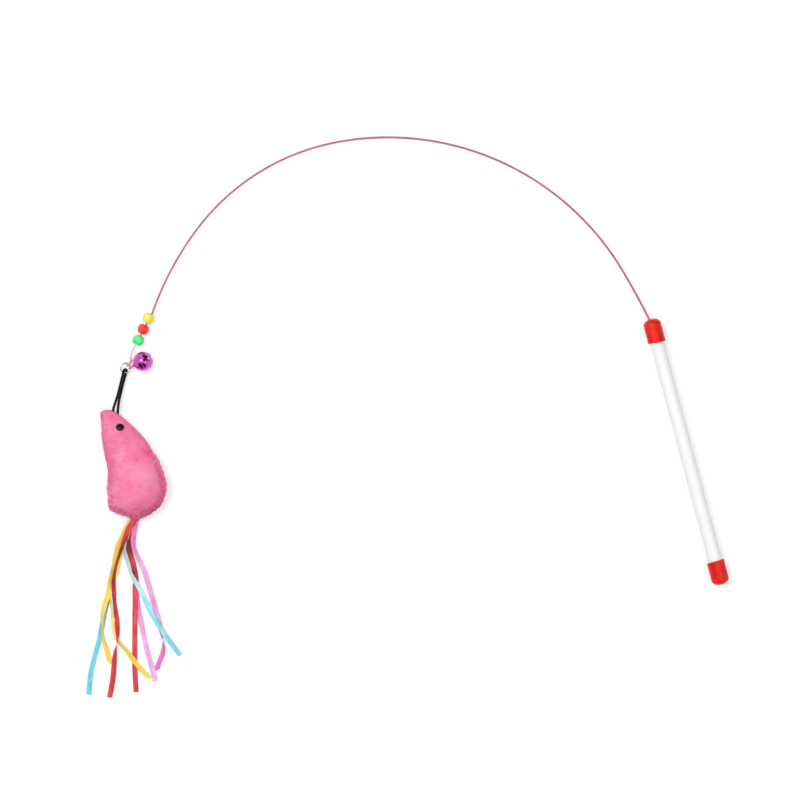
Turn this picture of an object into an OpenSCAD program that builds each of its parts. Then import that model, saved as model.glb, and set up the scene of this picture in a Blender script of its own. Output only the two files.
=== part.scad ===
// Cat teaser wand: a capped tube handle, a sprung wire bow, beads, a jingle bell
// and a stuffed mouse with a ribbon tail. It lies flat, as it does on a table.
// Origin: on the handle's axis at the tube's rear end. +Y runs up the handle to the
// wire, +Z is up, and the bow turns towards -X. The floor is at z = -cap_r.

/* [Handle] */
// Length of the plastic tube
tube_length = 188; // [120:1:300]
// Outer diameter of the tube
tube_od = 10; // [9:0.5:14]
// Wall of the tube
tube_wall = 1; // [0.6:0.1:1.4]

/* [End caps] */
// Wall of the soft vinyl caps
cap_wall = 1.4; // [1:0.1:2]
// Length of tube that a cap covers
cap_skirt = 12.5; // [8:0.5:20]
// Straight wall of a cap beyond the tube's end
cap_shoulder = 1; // [0.5:0.25:2]
// Height of a cap's domed end
cap_dome = 4; // [3:0.5:6]
// Rounding of a cap's mouth
cap_lip = 0.5; // [0.2:0.1:0.8]

/* [Wire] */
// Diameter of the spring steel core
core_d = 1; // [0.8:0.1:1.2]
// Diameter over the plastic coat
coat_d = 1.5; // [1.4:0.1:2]
// Radial play of the core in its coat
coat_play = 0.05; // [0.02:0.01:0.08]
// Lean of the wire where it leaves the front cap, in degrees
wire_lean = 11.5; // [0:0.5:15]
// Radii of the bow's four arcs, from the handle outwards
bow_radii = [514, 196.8, 163.5, 224.4]; // [100:0.1:600]
// Turns of the bow's four arcs, in degrees
bow_turns = [4.5, 70.4, 41.9, 17.4]; // [2:0.1:80]

/* [Beads] */
// Diameter of the round beads
bead_d = 8.3; // [7:0.1:12]
// Diameter of a bead's bore
bead_bore = 4.2; // [4:0.1:5]
// Space between two beads
bead_gap = 0.4; // [0.2:0.1:2]

/* [Wire eye and ring] */
// Inner radius of the eye at the wire's end
eye_inner = 1.5; // [1.5:0.1:2.2]
// Outer diameter of the jump ring
ring_od = 8; // [7.6:0.1:12]
// Diameter of the jump ring's wire
ring_wire = 1; // [0.8:0.1:1.1]
// Play between links that pull on each other
link_play = 0.1; // [0.05:0.05:0.2]

/* [Bell] */
// Diameter of the bell
bell_d = 14; // [13:0.5:18]
// Sheet thickness of the bell
bell_wall = 0.5; // [0.4:0.1:0.8]
// Distance from the bell's centre to its eyelet's centre
shank_reach = 9.9; // [9.5:0.1:12]
// Width of the sound slots
slot_w = 1.3; // [1:0.1:1.6]
// Diameter of the loose steel ball inside
pellet_d = 3.6; // [3:0.2:5]

/* [Mouse] */
// Length of the stuffed body
mouse_length = 82.4; // [60:1:110]
// Width of the stuffed body
mouse_width = 45.5; // [35:1:60]
// Thickness of the stuffed body
mouse_thick = 28; // [20:1:36]
// Thickness of the fleece
fleece = 1; // [0.8:0.1:1.4]
// Diameter of a button eye
button_d = 6; // [5:0.25:8]
// Diameter of the elastic cord
cord_d = 2; // [1.6:0.1:2.2]

/* [Ribbons] */
// Width of a ribbon
ribbon_w = 3.8; // [3:0.1:5]
// Thickness of a ribbon
ribbon_t = 0.3; // [0.2:0.05:0.35]

/* [Hidden] */
overrun = 1;
fine = 48;
smooth_sides = 32;

// Handle and caps
tube_r = tube_od / 2;
bore_r = tube_r - tube_wall;
cap_r = tube_r + cap_wall;
floor_z = -cap_r;
dome_steps = 10;

// Wire inside the handle
plug_recess = 3;
plug_length = 14;
ferrule_length = 4;
ferrule_r = 2;
wire_tail = 1;
set_radius = 20;
exit_play = 0.25;
core_r = core_d / 2;
coat_r = coat_d / 2;
coat_bore_r = core_r + coat_play;
plug_front = tube_length - plug_recess;
plug_back = plug_front - plug_length;
ferrule_back = plug_back - ferrule_length;
apex = tube_length + cap_shoulder + cap_dome;
set_end = [-set_radius * (1 - cos(wire_lean)), plug_front + set_radius * sin(wire_lean)];
throat = (apex - set_end[1]) / cos(wire_lean);
exit_heading = 90 + wire_lean;
wire_exit = set_end + throat * unit(exit_heading);

// Bow: where each arc starts, by adding the arcs up
bow_headings = [for (i = 0, h = exit_heading; i <= 4; h = h + (i < 4 ? bow_turns[i] : 0), i = i + 1) h];
bow_points = [for (i = 0, p = wire_exit; i <= 4;
    p = i < 4 ? bend_end(p, bow_headings[i], bow_radii[i], bow_turns[i]) : p, i = i + 1) p];
bow_tip = bow_points[4];
bow_tip_heading = bow_headings[4];

// Beads on the straight run behind the bow
kink_radius = 12;
kink_turn = -8.5;
bead_r = bead_d / 2;
bead_pitch = bead_d + bead_gap;
bead_axis_turn = 3.3;
bead_offset = 1;
bead_seat = 0.3;
run_heading = bow_tip_heading + kink_turn;
run_start = bend_end(bow_tip, bow_tip_heading, kink_radius, kink_turn);
first_bead_run = 3.3;
run_length = first_bead_run + 2 * bead_pitch + bead_r;
bead_heading = run_heading + bead_axis_turn;
bead_first = run_start + first_bead_run * unit(run_heading) - bead_offset * unit(run_heading + 90);
run_end = run_start + run_length * unit(run_heading);
bead_reach = bead_bore / 2 - coat_r - bead_seat;
function bead_at(i) = bead_first + i * bead_pitch * unit(bead_heading);
function bead_aside(i) = max(0, bead_offset - i * bead_pitch * sin(bead_axis_turn));
function bead_drop(i) = sqrt(max(0, pow(bead_reach, 2) - pow(bead_aside(i), 2)));

// Neck and eye at the wire's end
neck_straight = 5.5;
neck_radius = 7.5;
neck_turn = 50;
collar_length = 2.5;
eye_r = eye_inner + coat_r;
neck_start = run_end + neck_straight * unit(run_heading);
neck_end = bend_end(neck_start, run_heading, neck_radius, neck_turn);
eye_heading = 216;
arc_step = 2.6;
wire_sides = 8;
bow_route = [for (i = [0:3]) each
    arc_route(bow_points[i], bow_headings[i], bow_radii[i], bow_turns[i])];
kink_route = arc_route(bow_tip, bow_tip_heading, kink_radius, kink_turn);
collar_turn = collar_length / neck_radius * 180 / PI;
held_turn = neck_turn - coat_r / neck_radius * 180 / PI;
neck_route = arc_route(neck_start, run_heading, neck_radius, held_turn);
held_end = bend_end(neck_start, run_heading, neck_radius, held_turn);
coat_end = run_start + (run_length - bead_r) * unit(run_heading);
coat_route = concat(bow_route, kink_route, [run_start, coat_end]);
core_route = concat(bow_route, kink_route, [run_start], neck_route, [held_end]);
eye_centre = neck_end + eye_r * unit(eye_heading);

// The bow's plane dips so that the last bead rests on the floor
bow_dip = asin((cap_r - bead_r - bead_drop(2)) / (wire_exit[0] - bead_at(2)[0]));
link_z = -(wire_exit[0] - eye_centre[0]) * sin(bow_dip);

// Jump ring
ring_wire_r = ring_wire / 2;
ring_r = ring_od / 2 - ring_wire_r;
ring_slit = 5;
ring_slit_at = 120;
ring_centre = eye_centre + (ring_r + eye_inner - ring_wire_r - link_play) * unit(eye_heading);

// Bell, hung on the ring by its eyelet
bell_r = bell_d / 2;
bell_inner = bell_r - bell_wall;
bell_ring_at = -10;
bell_heading = 11;
eyelet_wire_r = 0.5;
eyelet_inner = ring_wire_r + link_play + core_r;
eyelet_r = eyelet_inner + eyelet_wire_r;
lip_height = 0.8;
lip_proud = 0.3;
shell_play = 0.02;
neck_foot_share = 0.5;
hanger = [ring_centre[0], ring_centre[1], link_z]
    + ring_r * [cos(bell_ring_at), sin(bell_ring_at), 0];
hang_length = shank_reach + eyelet_inner - ring_wire_r - link_play;
bell_rise = floor_z + bell_r + lip_proud - link_z;
bell_pitch = asin(bell_rise / hang_length);
bell_out = hang_length * cos(bell_pitch);
bell_centre = hanger + [bell_out * cos(bell_heading), bell_out * sin(bell_heading), bell_rise];
pellet_r = pellet_d / 2;
pellet_play = 0.05;

// Elastic cord, as [x, y, z] from the ring's centre, over the ring, round and back under it
cord_r = cord_d / 2;
cord_route = [
    [-16.6, -31.8, 2.6], [-16.6, -28.8, 2.3], [-15.8, -26.0, 2.0], [-14.0, -23.0, 1.8],
    [-12.2, -19.8, 1.7], [-10.2, -16.2, 1.7], [-8.6, -13.0, 1.7], [-6.6, -9.4, 1.7],
    [-4.9, -6.6, 1.7], [-3.4, -4.4, 1.65], [-2.3, -2.7, 1.6], [-1.45, -1.45, 1.3],
    [-0.75, -1.0, 0.6], [-0.2, -1.05, -0.3], [0.15, -1.65, -1.2], [-0.35, -3.1, -1.6],
    [-1.35, -5.2, -1.7], [-2.9, -8.0, -1.5], [-4.6, -11.4, -0.9], [-6.6, -15.0, -0.1],
    [-8.6, -18.6, 0.4], [-10.4, -21.8, 1.0], [-12.0, -25.0, 1.6], [-13.2, -28.4, 2.2],
    [-14.1, -31.8, 2.6]
];

// Mouse: shares of its length, width and thickness, from the nose to the rump.
// The sides are counted from the cord's side of the nose.
mouse_from_ring = [-15.4, -25.4];
mouse_half = mouse_thick / 2;
mouse_flat = 0.5;
mouse_low_share = 0.7;
swell_power = 1.3;
panel_steps = 14;
station_shares = [0, 0.012, 0.03, 0.07, 0.115, 0.165, 0.21, 0.26, 0.355, 0.455, 0.505, 0.55,
    0.65, 0.745, 0.795, 0.845, 0.89, 0.94, 0.977, 1];
left_shares = [-0.2, -0.23, -0.24, -0.245, -0.259, -0.277, -0.296, -0.31, -0.323, -0.326, -0.336,
    -0.354, -0.426, -0.453, -0.477, -0.481, -0.413, -0.281, -0.165, -0.1];
right_shares = [-0.13, -0.057, -0.018, 0.051, 0.114, 0.176, 0.231, 0.281, 0.368, 0.428, 0.464,
    0.489, 0.505, 0.512, 0.492, 0.453, 0.4, 0.312, 0.158, 0.03];
swell_shares = [0.14, 0.2, 0.26, 0.36, 0.45, 0.52, 0.58, 0.64, 0.76, 0.86, 0.9, 0.94, 0.99, 1,
    0.98, 0.92, 0.8, 0.6, 0.38, 0.2];
nose = ring_centre + mouse_from_ring;
stuffing_shares = [0.16, 0.9];
stuffing_play = 0.15;

// Button eyes
button_share = 0.182;
button_across_share = 0.3;
button_rise = 1.4;
button_stem_r = 0.9;
button_sink = 0.3;

// Cord knot inside the head, and the tab of sewn ribbon ends at the rump
knot_r = 2.3;
knot_core_r = 1.1;
knot_at = [-15.3, -33.8, 2.7];
tail_root_shares = [-0.154, -0.99];
tab_w = 8;
tab_length = 6;
tab_t = 3.4;
tab_heading = 235;
tail_root = nose + [tail_root_shares[0] * mouse_width, tail_root_shares[1] * mouse_length];
tail_z = seam_z(1);

// Ribbon routes, as [x, y] from the tail's root
ribbon_steps = 2;
layer_rise = 0.42;
root_middle = 3.5;
fall_length = 30;
pack_length = 20;
ribbon_play = 0.1;
yellow_long_route = [[-1.8, -0.2], [-6.5, -4.6], [-11.0, -10.0], [-15.4, -14.8], [-19.8, -22.6],
    [-23.2, -31.2], [-28.2, -39.6], [-31.6, -46.8], [-35.6, -53.0], [-39.6, -60.8],
    [-41.6, -68.4], [-43.4, -76.6], [-43.2, -87.4], [-43.2, -96.6]];
yellow_short_route = [[-1.0, -0.6], [-5.4, -6.4], [-10.4, -13.8], [-16.4, -22.0], [-21.2, -31.4],
    [-26.4, -39.6], [-30.0, -47.0], [-32.2, -56.4], [-33.4, -66.0], [-34.4, -76.0], [-33.0, -83.2],
    [-29.4, -90.4], [-26.4, -98.2], [-22.8, -106.0], [-18.4, -114.2]];
red_long_route = [[-0.6, -0.8], [-5.8, -6.2], [-10.2, -12.6], [-14.2, -18.6], [-19.0, -25.8],
    [-22.8, -32.6], [-25.6, -39.4], [-27.4, -46.8], [-28.8, -54.6], [-30.6, -66.8], [-32.0, -74.2],
    [-33.4, -80.0], [-36.4, -86.2], [-39.6, -94.0], [-44.4, -107.2], [-50.3, -119.8]];
red_short_route = [[0, -1.0], [-4.4, -6.6], [-8.0, -12.4], [-9.2, -18.6], [-9.1, -25.0],
    [-9.0, -33.0], [-9.8, -41.4], [-12.2, -48.6], [-14.4, -57.0], [-18.2, -70.6], [-21.8, -83.6],
    [-25.6, -97.8], [-28.4, -109.6], [-30.7, -120.8]];
blue_short_route = [[-0.8, -1.4], [-6.4, -7.6], [-10.6, -13.4], [-12.4, -19.6], [-12.8, -26.0],
    [-12.4, -34.0], [-11.4, -40.6], [-9.6, -47.0], [-7.6, -56.4], [-5.4, -66.4], [-2.8, -76.6],
    [-0.4, -84.2], [3.4, -94.6], [7.2, -103.4]];
blue_long_route = [[-2.4, -0.6], [-7.8, -6.6], [-13.0, -13.4], [-17.2, -20.2], [-22.6, -29.2],
    [-28.0, -40.2], [-32.4, -51.2], [-36.6, -59.4], [-40.6, -67.2], [-44.4, -73.2], [-47.8, -79.4],
    [-52.6, -87.8], [-57.8, -97.6], [-61.4, -105.8], [-64.2, -114.0]];
lilac_short_route = [[1.4, -1.4], [-1.0, -6.4], [-3.4, -12.0], [-4.8, -17.4], [-4.8, -23.6],
    [-3.8, -30.2], [-2.4, -38.0], [-2.0, -49.6], [-1.8, -59.6], [-1.6, -68.2], [-1.4, -76.4],
    [-2.0, -84.0], [-2.6, -92.0], [-5.0, -98.6], [-9.2, -104.4], [-13.0, -109.8]];
lilac_long_route = [[0.8, -2.0], [-3.0, -8.8], [-6.6, -15.0], [-9.4, -22.0], [-11.4, -30.6],
    [-12.4, -41.8], [-13.6, -54.4], [-13.8, -64.2], [-14.4, -75.2], [-15.2, -86.8], [-15.2, -98.6],
    [-15.0, -108.6], [-15.0, -116.6]];

// Direction of a heading, counted from +X
function unit(heading) = [cos(heading), sin(heading)];

// Centre and end of a bend that starts at p with a heading and turns left, or right if negative
function bend_centre(p, heading, radius, turn) = p + sign(turn) * radius * unit(heading + 90);
function bend_end(p, heading, radius, turn) =
    bend_centre(p, heading, radius, turn) - sign(turn) * radius * unit(heading + 90 + turn);

// Points along a bend, without its last one
function arc_route(p, heading, radius, turn) =
    let (n = max(3, ceil(abs(turn) / arc_step)))
    [for (k = [0:n - 1]) bend_end(p, heading, radius, turn * k / n)];

// One bend of a wire, with its section as a child
module bend(p, heading, radius, turn) {
    centre = bend_centre(p, heading, radius, turn);
    first = turn > 0 ? heading - 90 : heading + 90 + turn;
    translate([centre[0], centre[1], 0])
        rotate([0, 0, first])
            rotate_extrude(angle = abs(turn), $fn = fine * 8)
                translate([radius, 0])
                    children();
}

// One straight run of a wire, with its section as a child
module run(p, heading, length) {
    translate([p[0], p[1], 0])
        rotate([90, 0, heading - 90])
            mirror([0, 0, 1])
                linear_extrude(length)
                    children();
}

// Round section of a wire
module wire_section(r) {
    circle(r = r, $fn = smooth_sides);
}

// Turns what follows into the dipped plane of the bow
module bow_plane() {
    translate([wire_exit[0], wire_exit[1], 0])
        rotate([0, -bow_dip, 0])
            translate([-wire_exit[0], -wire_exit[1], 0])
                children();
}

// Closed surface through rings of equal count. Point j of a ring faces point -1 - j across it.
module loft(rings) {
    m = len(rings[0]);
    n = len(rings);
    half = m / 2;
    points = [for (ring = rings) each ring];
    sides = [for (i = [0:n - 2], j = [0:m - 1])
        let (a = i * m + j, b = i * m + (j + 1) % m, c = b + m, d = a + m)
        each [[a, b, c], [a, c, d]]];
    front = [for (j = [0:half - 2]) let (a = j, b = j + 1, c = m - 2 - j, d = m - 1 - j)
        each [[a, c, b], [a, d, c]]];
    last = (n - 1) * m;
    back = [for (j = [0:half - 2]) let (a = last + j, b = a + 1, c = last + m - 2 - j, d = c + 1)
        each [[a, b, c], [a, c, d]]];
    polyhedron(points, concat(sides, front, back), convexity = 6);
}

// Faces of a tube's outer wall from point a on, of its bore from point b on, and of the
// flat rim that joins ring i of the wall to ring k of the bore
function wall_faces(a, m, rings) = [for (i = [0:rings - 2], j = [0:m - 1])
    let (p = a + i * m + j, q = a + i * m + (j + 1) % m) each [[p, q, q + m], [p, q + m, p + m]]];
function bore_faces(b, m, rings) = [for (i = [0:rings - 2], j = [0:m - 1])
    let (p = b + i * m + j, q = b + i * m + (j + 1) % m) each [[p, q + m, q], [p, p + m, q + m]]];
function rim_faces(i, k, m) = [for (j = [0:m - 1])
    let (p = i + j, q = i + (j + 1) % m, r = k + j, t = k + (j + 1) % m)
    each [[p, q, t], [p, t, r]]];

// Tube with a bore right through it
module loft_open(outer, inner) {
    m = len(outer[0]);
    n = len(outer);
    b = n * m;
    points = concat([for (ring = outer) each ring], [for (ring = inner) each ring]);
    polyhedron(points, concat(wall_faces(0, m, n), bore_faces(b, m, n),
        rim_faces(b - m, 2 * b - m, m), rim_faces(b, 0, m)), convexity = 6);
}

// Closed tube with a blind bore. Both sets of rings end at the open end.
module loft_blind(outer, inner) {
    m = len(outer[0]);
    b = len(outer) * m;
    b_end = b + (len(inner) - 1) * m;
    points = concat([for (ring = outer) each ring], [for (ring = inner) each ring]);
    nose_cap = [for (j = [1:m - 2]) [0, j + 1, j]];
    bore_cap = [for (j = [1:m - 2]) [b, b + j, b + j + 1]];
    polyhedron(points, concat(wall_faces(0, m, len(outer)), bore_faces(b, m, len(inner)),
        rim_faces(b - m, b_end, m), nose_cap, bore_cap), convexity = 6);
}

// Smooth curve through the points of a route
function knot(p, i) = p[max(0, min(len(p) - 1, i))];
function curve_point(p, i, t) =
    let (a = knot(p, i - 1), b = knot(p, i), c = knot(p, i + 1), d = knot(p, i + 2))
    (2 * b + (c - a) * t + (2 * a - 5 * b + 4 * c - d) * t * t
        + (3 * b - a - 3 * c + d) * t * t * t) / 2;
function smooth_route(p, steps) = concat(
    [for (i = [0:len(p) - 2], k = [0:steps - 1]) curve_point(p, i, k / steps)],
    [p[len(p) - 1]]);

// Direction along a route at one of its points, and a section carried along the whole route
function along(p, i) = let (d = knot(p, i + 1) - knot(p, i - 1)) d / norm(d);
function swept(p, section) = [for (i = [0:len(p) - 1])
    let (t = along(p, i), s = cross(t, [0, 0, 1]) / norm(cross(t, [0, 0, 1])), u = cross(s, t))
    [for (q = section) p[i] + q[0] * s + q[1] * u]];

// Outline of the mouse at a station, as shares, and its seam's height
function table(shares) = [for (i = [0:len(shares) - 1]) [station_shares[i], shares[i]]];
function side_x(s, shares) = nose[0] + mouse_width * lookup(s, table(shares));
function mouse_middle(s) = (side_x(s, left_shares) + side_x(s, right_shares)) / 2;
function mouse_reach(s) = (side_x(s, right_shares) - side_x(s, left_shares)) / 2;
function mouse_swell(s) = mouse_half * lookup(s, table(swell_shares));
function mouse_y(s) = nose[1] - mouse_length * s;
function seam_z(s) = floor_z + mouse_low_share * mouse_swell(s)
    + (1 - mouse_low_share) * mouse_half - mouse_flat;

// Point of the mouse's skin, less an inset. Turn 0 is the left edge and 180 the right edge.
function skin(s, turn, side, inset) =
    let (w = mouse_reach(s) - inset, t = mouse_swell(s) - inset)
    [mouse_middle(s) - w * cos(turn), mouse_y(s),
        max(floor_z + inset, seam_z(s) + side * t * pow(sin(turn), swell_power))];

// Rings of one fleece panel: the outer skin one way and the inner skin back
function panel_rings(side) = [for (s = station_shares)
    let (outer = [for (j = [0:panel_steps]) skin(s, 180 * j / panel_steps, side, 0)],
        inner = [for (j = [panel_steps:-1:0]) skin(s, 180 * j / panel_steps, side, fleece_at(s))])
    side > 0 ? concat(outer, inner) : concat([for (k = [panel_steps:-1:0]) outer[k]],
        [for (k = [panel_steps:-1:0]) inner[k]])];
function fleece_at(s) = min(fleece, mouse_swell(s) / 2);

// Route on the ground plane as points in space
function flat_route(p) = [for (q = p) [q[0], q[1], 0]];

// Ribbon section, and a tube's section
function ribbon_section(w, t) = [[-w / 2, t / 2], [w / 2, t / 2], [w / 2, -t / 2], [-w / 2, -t / 2]];
function tube_section(r, sides) = [for (j = [sides - 1:-1:0]) let (a = (j + 0.5) * 360 / sides)
    r * [cos(a), sin(a)]];

// Handle: an open tube
module handle_tube() {
    color([0.97, 0.96, 0.97])
        rotate([-90, 0, 0])
            difference() {
                cylinder(r = tube_r, h = tube_length, $fn = fine);
                translate([0, 0, -overrun])
                    cylinder(r = bore_r, h = tube_length + 2 * overrun, $fn = fine);
            }
}

// Vinyl cap, with its tube's end at the origin and its dome towards -Z
module cap_shell() {
    outer = [for (i = [0:dome_steps]) let (a = 90 * i / dome_steps)
        [cap_r * sin(a), -cap_shoulder - cap_dome * cos(a)]];
    inner = [for (i = [dome_steps:-1:0]) let (a = 90 * i / dome_steps)
        [tube_r * sin(a), -(cap_shoulder + cap_dome - cap_wall) * cos(a)]];
    lip = min(cap_lip, cap_wall / 2);
    mouth = [[cap_r, cap_skirt - lip], [cap_r - lip, cap_skirt], [tube_r, cap_skirt]];
    rotate_extrude($fn = fine)
        polygon(concat(outer, mouth, inner));
}

// Rear cap
module rear_cap() {
    color([0.9, 0.19, 0.14])
        rotate([-90, 0, 0])
            cap_shell();
}

// Front cap, pierced for the wire
module front_cap() {
    color([0.9, 0.19, 0.14])
        difference() {
            translate([0, tube_length, 0])
                rotate([90, 0, 0])
                    cap_shell();
            run(set_end, exit_heading, throat + overrun)
                wire_section(coat_r + exit_play);
        }
}

// Plug that holds the wire in the tube's front end
module wire_plug() {
    color([0.88, 0.87, 0.84])
        translate([0, plug_front, 0])
            rotate([90, 0, 0])
                difference() {
                    cylinder(r = bore_r, h = plug_length, $fn = fine);
                    translate([0, 0, -overrun])
                        cylinder(r = coat_r, h = plug_length + 2 * overrun, $fn = smooth_sides);
                }
}

// Ferrule crimped on the bared core behind the plug
module wire_ferrule() {
    color([0.72, 0.7, 0.62])
        translate([0, plug_back, 0])
            rotate([90, 0, 0])
                difference() {
                    cylinder(r = ferrule_r, h = ferrule_length, $fn = fine);
                    translate([0, 0, -overrun])
                        cylinder(r = core_r, h = ferrule_length + 2 * overrun, $fn = smooth_sides);
                }
}

// Route of the wire inside the handle, from a point on the axis to just short of the
// flexing point
function root_route(from) = flat_route(concat([[0, from]],
    arc_route([0, plug_front], 90, set_radius, wire_lean),
    [set_end, set_end + (throat - coat_r - coat_play) * unit(exit_heading)]));

// Steel core inside the handle
module wire_core_root() {
    color([0.66, 0.67, 0.69])
        loft(swept(root_route(ferrule_back - wire_tail), tube_section(core_r, wire_sides)));
}

// Coat inside the handle
module wire_coat_root() {
    route = root_route(plug_back);
    color([0.9, 0.36, 0.56])
        loft_open(swept(route, tube_section(coat_r, wire_sides)),
            swept(route, tube_section(coat_bore_r, wire_sides)));
}

// Steel core of the bow, through the beads into the collar of the eye
module wire_core() {
    lead = coat_r + coat_play;
    first = wire_exit + lead * unit(exit_heading);
    rest = [for (i = [1:len(core_route) - 1]) core_route[i]];
    color([0.82, 0.62, 0.68])
        bow_plane()
            loft(swept(flat_route(concat([first], rest)), tube_section(core_r, wire_sides)));
}

// Plastic coat of the bow. Its round end sits at the flexing point, and it ends in the last bead.
module wire_coat() {
    lead = coat_r + coat_play;
    bore_start = wire_exit + lead * unit(exit_heading);
    rest = [for (i = [1:len(coat_route) - 1]) coat_route[i]];
    body = flat_route(concat([wire_exit], rest));
    bore = flat_route(concat([bore_start], rest));
    s = unit(exit_heading - 90);
    round_end = [for (a = [75, 50, 25]) [for (q = tube_section(coat_r * cos(a), wire_sides))
        let (p = wire_exit - coat_r * sin(a) * unit(exit_heading) + q[0] * s) [p[0], p[1], q[1]]]];
    color([0.93, 0.32, 0.55])
        bow_plane()
            loft_blind(concat(round_end, swept(body, tube_section(coat_r, wire_sides))),
                swept(bore, tube_section(coat_bore_r, wire_sides)));
}

// Plastic eye moulded on the wire's end: an upright loop with a collar that grips the core
module wire_eye() {
    collar_from = neck_turn - collar_turn;
    bore_from = collar_from - collar_turn;
    color([0.98, 0.45, 0.62])
        bow_plane()
            difference() {
                union() {
                    translate([eye_centre[0], eye_centre[1], 0])
                        rotate([90, 0, eye_heading])
                            rotate_extrude($fn = fine)
                                translate([eye_r, 0])
                                    wire_section(coat_r);
                    bend(bend_end(neck_start, run_heading, neck_radius, collar_from),
                        run_heading + collar_from, neck_radius, collar_turn)
                        wire_section(coat_r);
                }
                bend(bend_end(neck_start, run_heading, neck_radius, bore_from),
                    run_heading + bore_from, neck_radius, held_turn - bore_from)
                    wire_section(core_r + coat_play);
            }
}

// Round bead with a wide bore
module bead(i) {
    bow_plane()
        translate([bead_at(i)[0], bead_at(i)[1], -bead_drop(i)])
            rotate([90, 0, bead_heading - 90])
                difference() {
                    sphere(r = bead_r, $fn = fine);
                    cylinder(d = bead_bore, h = 2 * bead_r, center = true, $fn = fine);
                }
}

module bead_yellow() {
    color([0.98, 0.93, 0.3])
        bead(0);
}

module bead_red() {
    color([0.97, 0.3, 0.22])
        bead(1);
}

module bead_green() {
    color([0.36, 0.95, 0.55])
        bead(2);
}

// Split ring that joins the wire, the bell and the cord
module jump_ring() {
    color([0.8, 0.8, 0.82])
        translate([ring_centre[0], ring_centre[1], link_z])
            rotate([0, 0, ring_slit_at])
                rotate_extrude(angle = 360 - ring_slit, $fn = fine)
                    translate([ring_r, 0])
                        wire_section(ring_wire_r);
}

// Places the bell, with its eyelet towards +Z
module bell_frame() {
    translate(bell_centre)
        rotate([0, 0, bell_heading])
            rotate([0, -90 - bell_pitch, 0])
                children();
}

// Upper shell of the bell with its lip, drawn neck and eyelet
module bell_crown() {
    foot_r = bell_r * neck_foot_share;
    foot_z = sqrt(bell_r * bell_r - foot_r * foot_r) - bell_wall / 2;
    tip_z = shank_reach - eyelet_r;
    tip_r = eyelet_wire_r;
    neck = [for (i = [0:6]) let (t = i / 6)
        [tip_r + (foot_r - tip_r) * pow(1 - t, 2.4), foot_z + (tip_z - foot_z) * t]];
    color([0.72, 0.2, 0.62])
        bell_frame()
            difference() {
                union() {
                    sphere(r = bell_r, $fn = fine);
                    translate([0, 0, -lip_height / 2])
                        cylinder(r = bell_r + lip_proud, h = lip_height, $fn = fine);
                    rotate_extrude($fn = fine)
                        polygon(concat([[0, foot_z]], neck, [[0, tip_z]]));
                    translate([0, 0, shank_reach])
                        rotate([90, 0, 0])
                            rotate_extrude($fn = fine)
                                translate([eyelet_r, 0])
                                    circle(r = eyelet_wire_r, $fn = smooth_sides);
                }
                sphere(r = bell_inner, $fn = fine);
                translate([0, 0, -lip_height / 2 - bell_r])
                    cylinder(r = 2 * bell_r, h = bell_r, $fn = fine);
                translate([0, 0, -lip_height])
                    cylinder(r = bell_r + shell_play, h = lip_height, $fn = fine);
            }
}

// Lower shell of the bell, with two crossed slots that end in round holes
module bell_skirt() {
    hole_turn = 62;
    color([0.7, 0.18, 0.6])
        bell_frame()
            difference() {
                sphere(r = bell_r, $fn = fine);
                sphere(r = bell_inner, $fn = fine);
                cylinder(r = 2 * bell_r, h = 2 * bell_r, $fn = fine);
                for (turn = [0, 90])
                    rotate([0, 0, turn]) {
                        translate([0, 0, -bell_r])
                            cube([2 * bell_r * sin(hole_turn), slot_w,
                                2 * bell_r * (1 - cos(hole_turn))], center = true);
                        for (tilt = [-hole_turn, hole_turn])
                            rotate([0, 180 + tilt, 0])
                                cylinder(r = slot_w, h = 2 * bell_r, $fn = smooth_sides);
                    }
            }
}

// Steel ball that lies loose in the bell
module bell_pellet() {
    color([0.6, 0.6, 0.62])
        translate(bell_centre - [0, 0, bell_inner - pellet_r - pellet_play])
            sphere(r = pellet_r, $fn = smooth_sides);
}

// Elastic cord: two strands and the fold that holds the ring
module cord_loop() {
    route = [for (p = cord_route) p + [ring_centre[0], ring_centre[1], link_z]];
    color([0.13, 0.12, 0.13])
        loft(swept(smooth_route(route, 3), tube_section(cord_r, 8)));
}

// Knot of the cord inside the head
module cord_knot() {
    color([0.13, 0.12, 0.13])
        translate([ring_centre[0], ring_centre[1], link_z] + knot_at)
            rotate([90, 0, 0])
                rotate_extrude($fn = smooth_sides)
                    translate([knot_r - knot_core_r, 0])
                        circle(r = knot_core_r, $fn = smooth_sides);
}

module mouse_upper_panel() {
    color([0.98, 0.55, 0.7])
        loft(panel_rings(1));
}

module mouse_lower_panel() {
    color([0.96, 0.5, 0.66])
        loft(panel_rings(-1));
}

// Polyester filling between the panels
module mouse_stuffing() {
    inset = fleece + stuffing_play;
    steps = 2 * panel_steps;
    color([0.95, 0.95, 0.93])
        loft([for (s = station_shares)
            if (s > stuffing_shares[0] && s < stuffing_shares[1])
                [for (j = [0:steps - 1]) let (a = (j + 0.5) * 360 / steps)
                    skin(s, a < 180 ? a : 360 - a, a < 180 ? 1 : -1, inset)]]);
}

// Button eye, seated square to the fleece at its place
module button_eye(side) {
    turn = acos(-button_across_share);
    step = 0.01;
    seat = skin(button_share, turn, side, button_sink);
    toward_rump = skin(button_share + step, turn, side, button_sink) - seat;
    toward_back = skin(button_share, turn + 1, side, button_sink) - seat;
    out = side * cross(toward_rump, toward_back);
    lean = acos(out[2] / norm(out));
    stem = fleece - button_sink;
    dome = [for (i = [0:6]) let (a = 15 * i) [button_d / 2 * cos(a), button_rise * sin(a)]];
    translate(seat)
        rotate([0, lean, atan2(out[1], out[0])])
            rotate_extrude($fn = fine)
                polygon(concat([[0, -stem], [button_stem_r, -stem], [button_stem_r, 0]], dome));
}

module eye_left() {
    color([0.1, 0.07, 0.08])
        button_eye(1);
}

module eye_right() {
    color([0.1, 0.07, 0.08])
        button_eye(-1);
}

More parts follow.
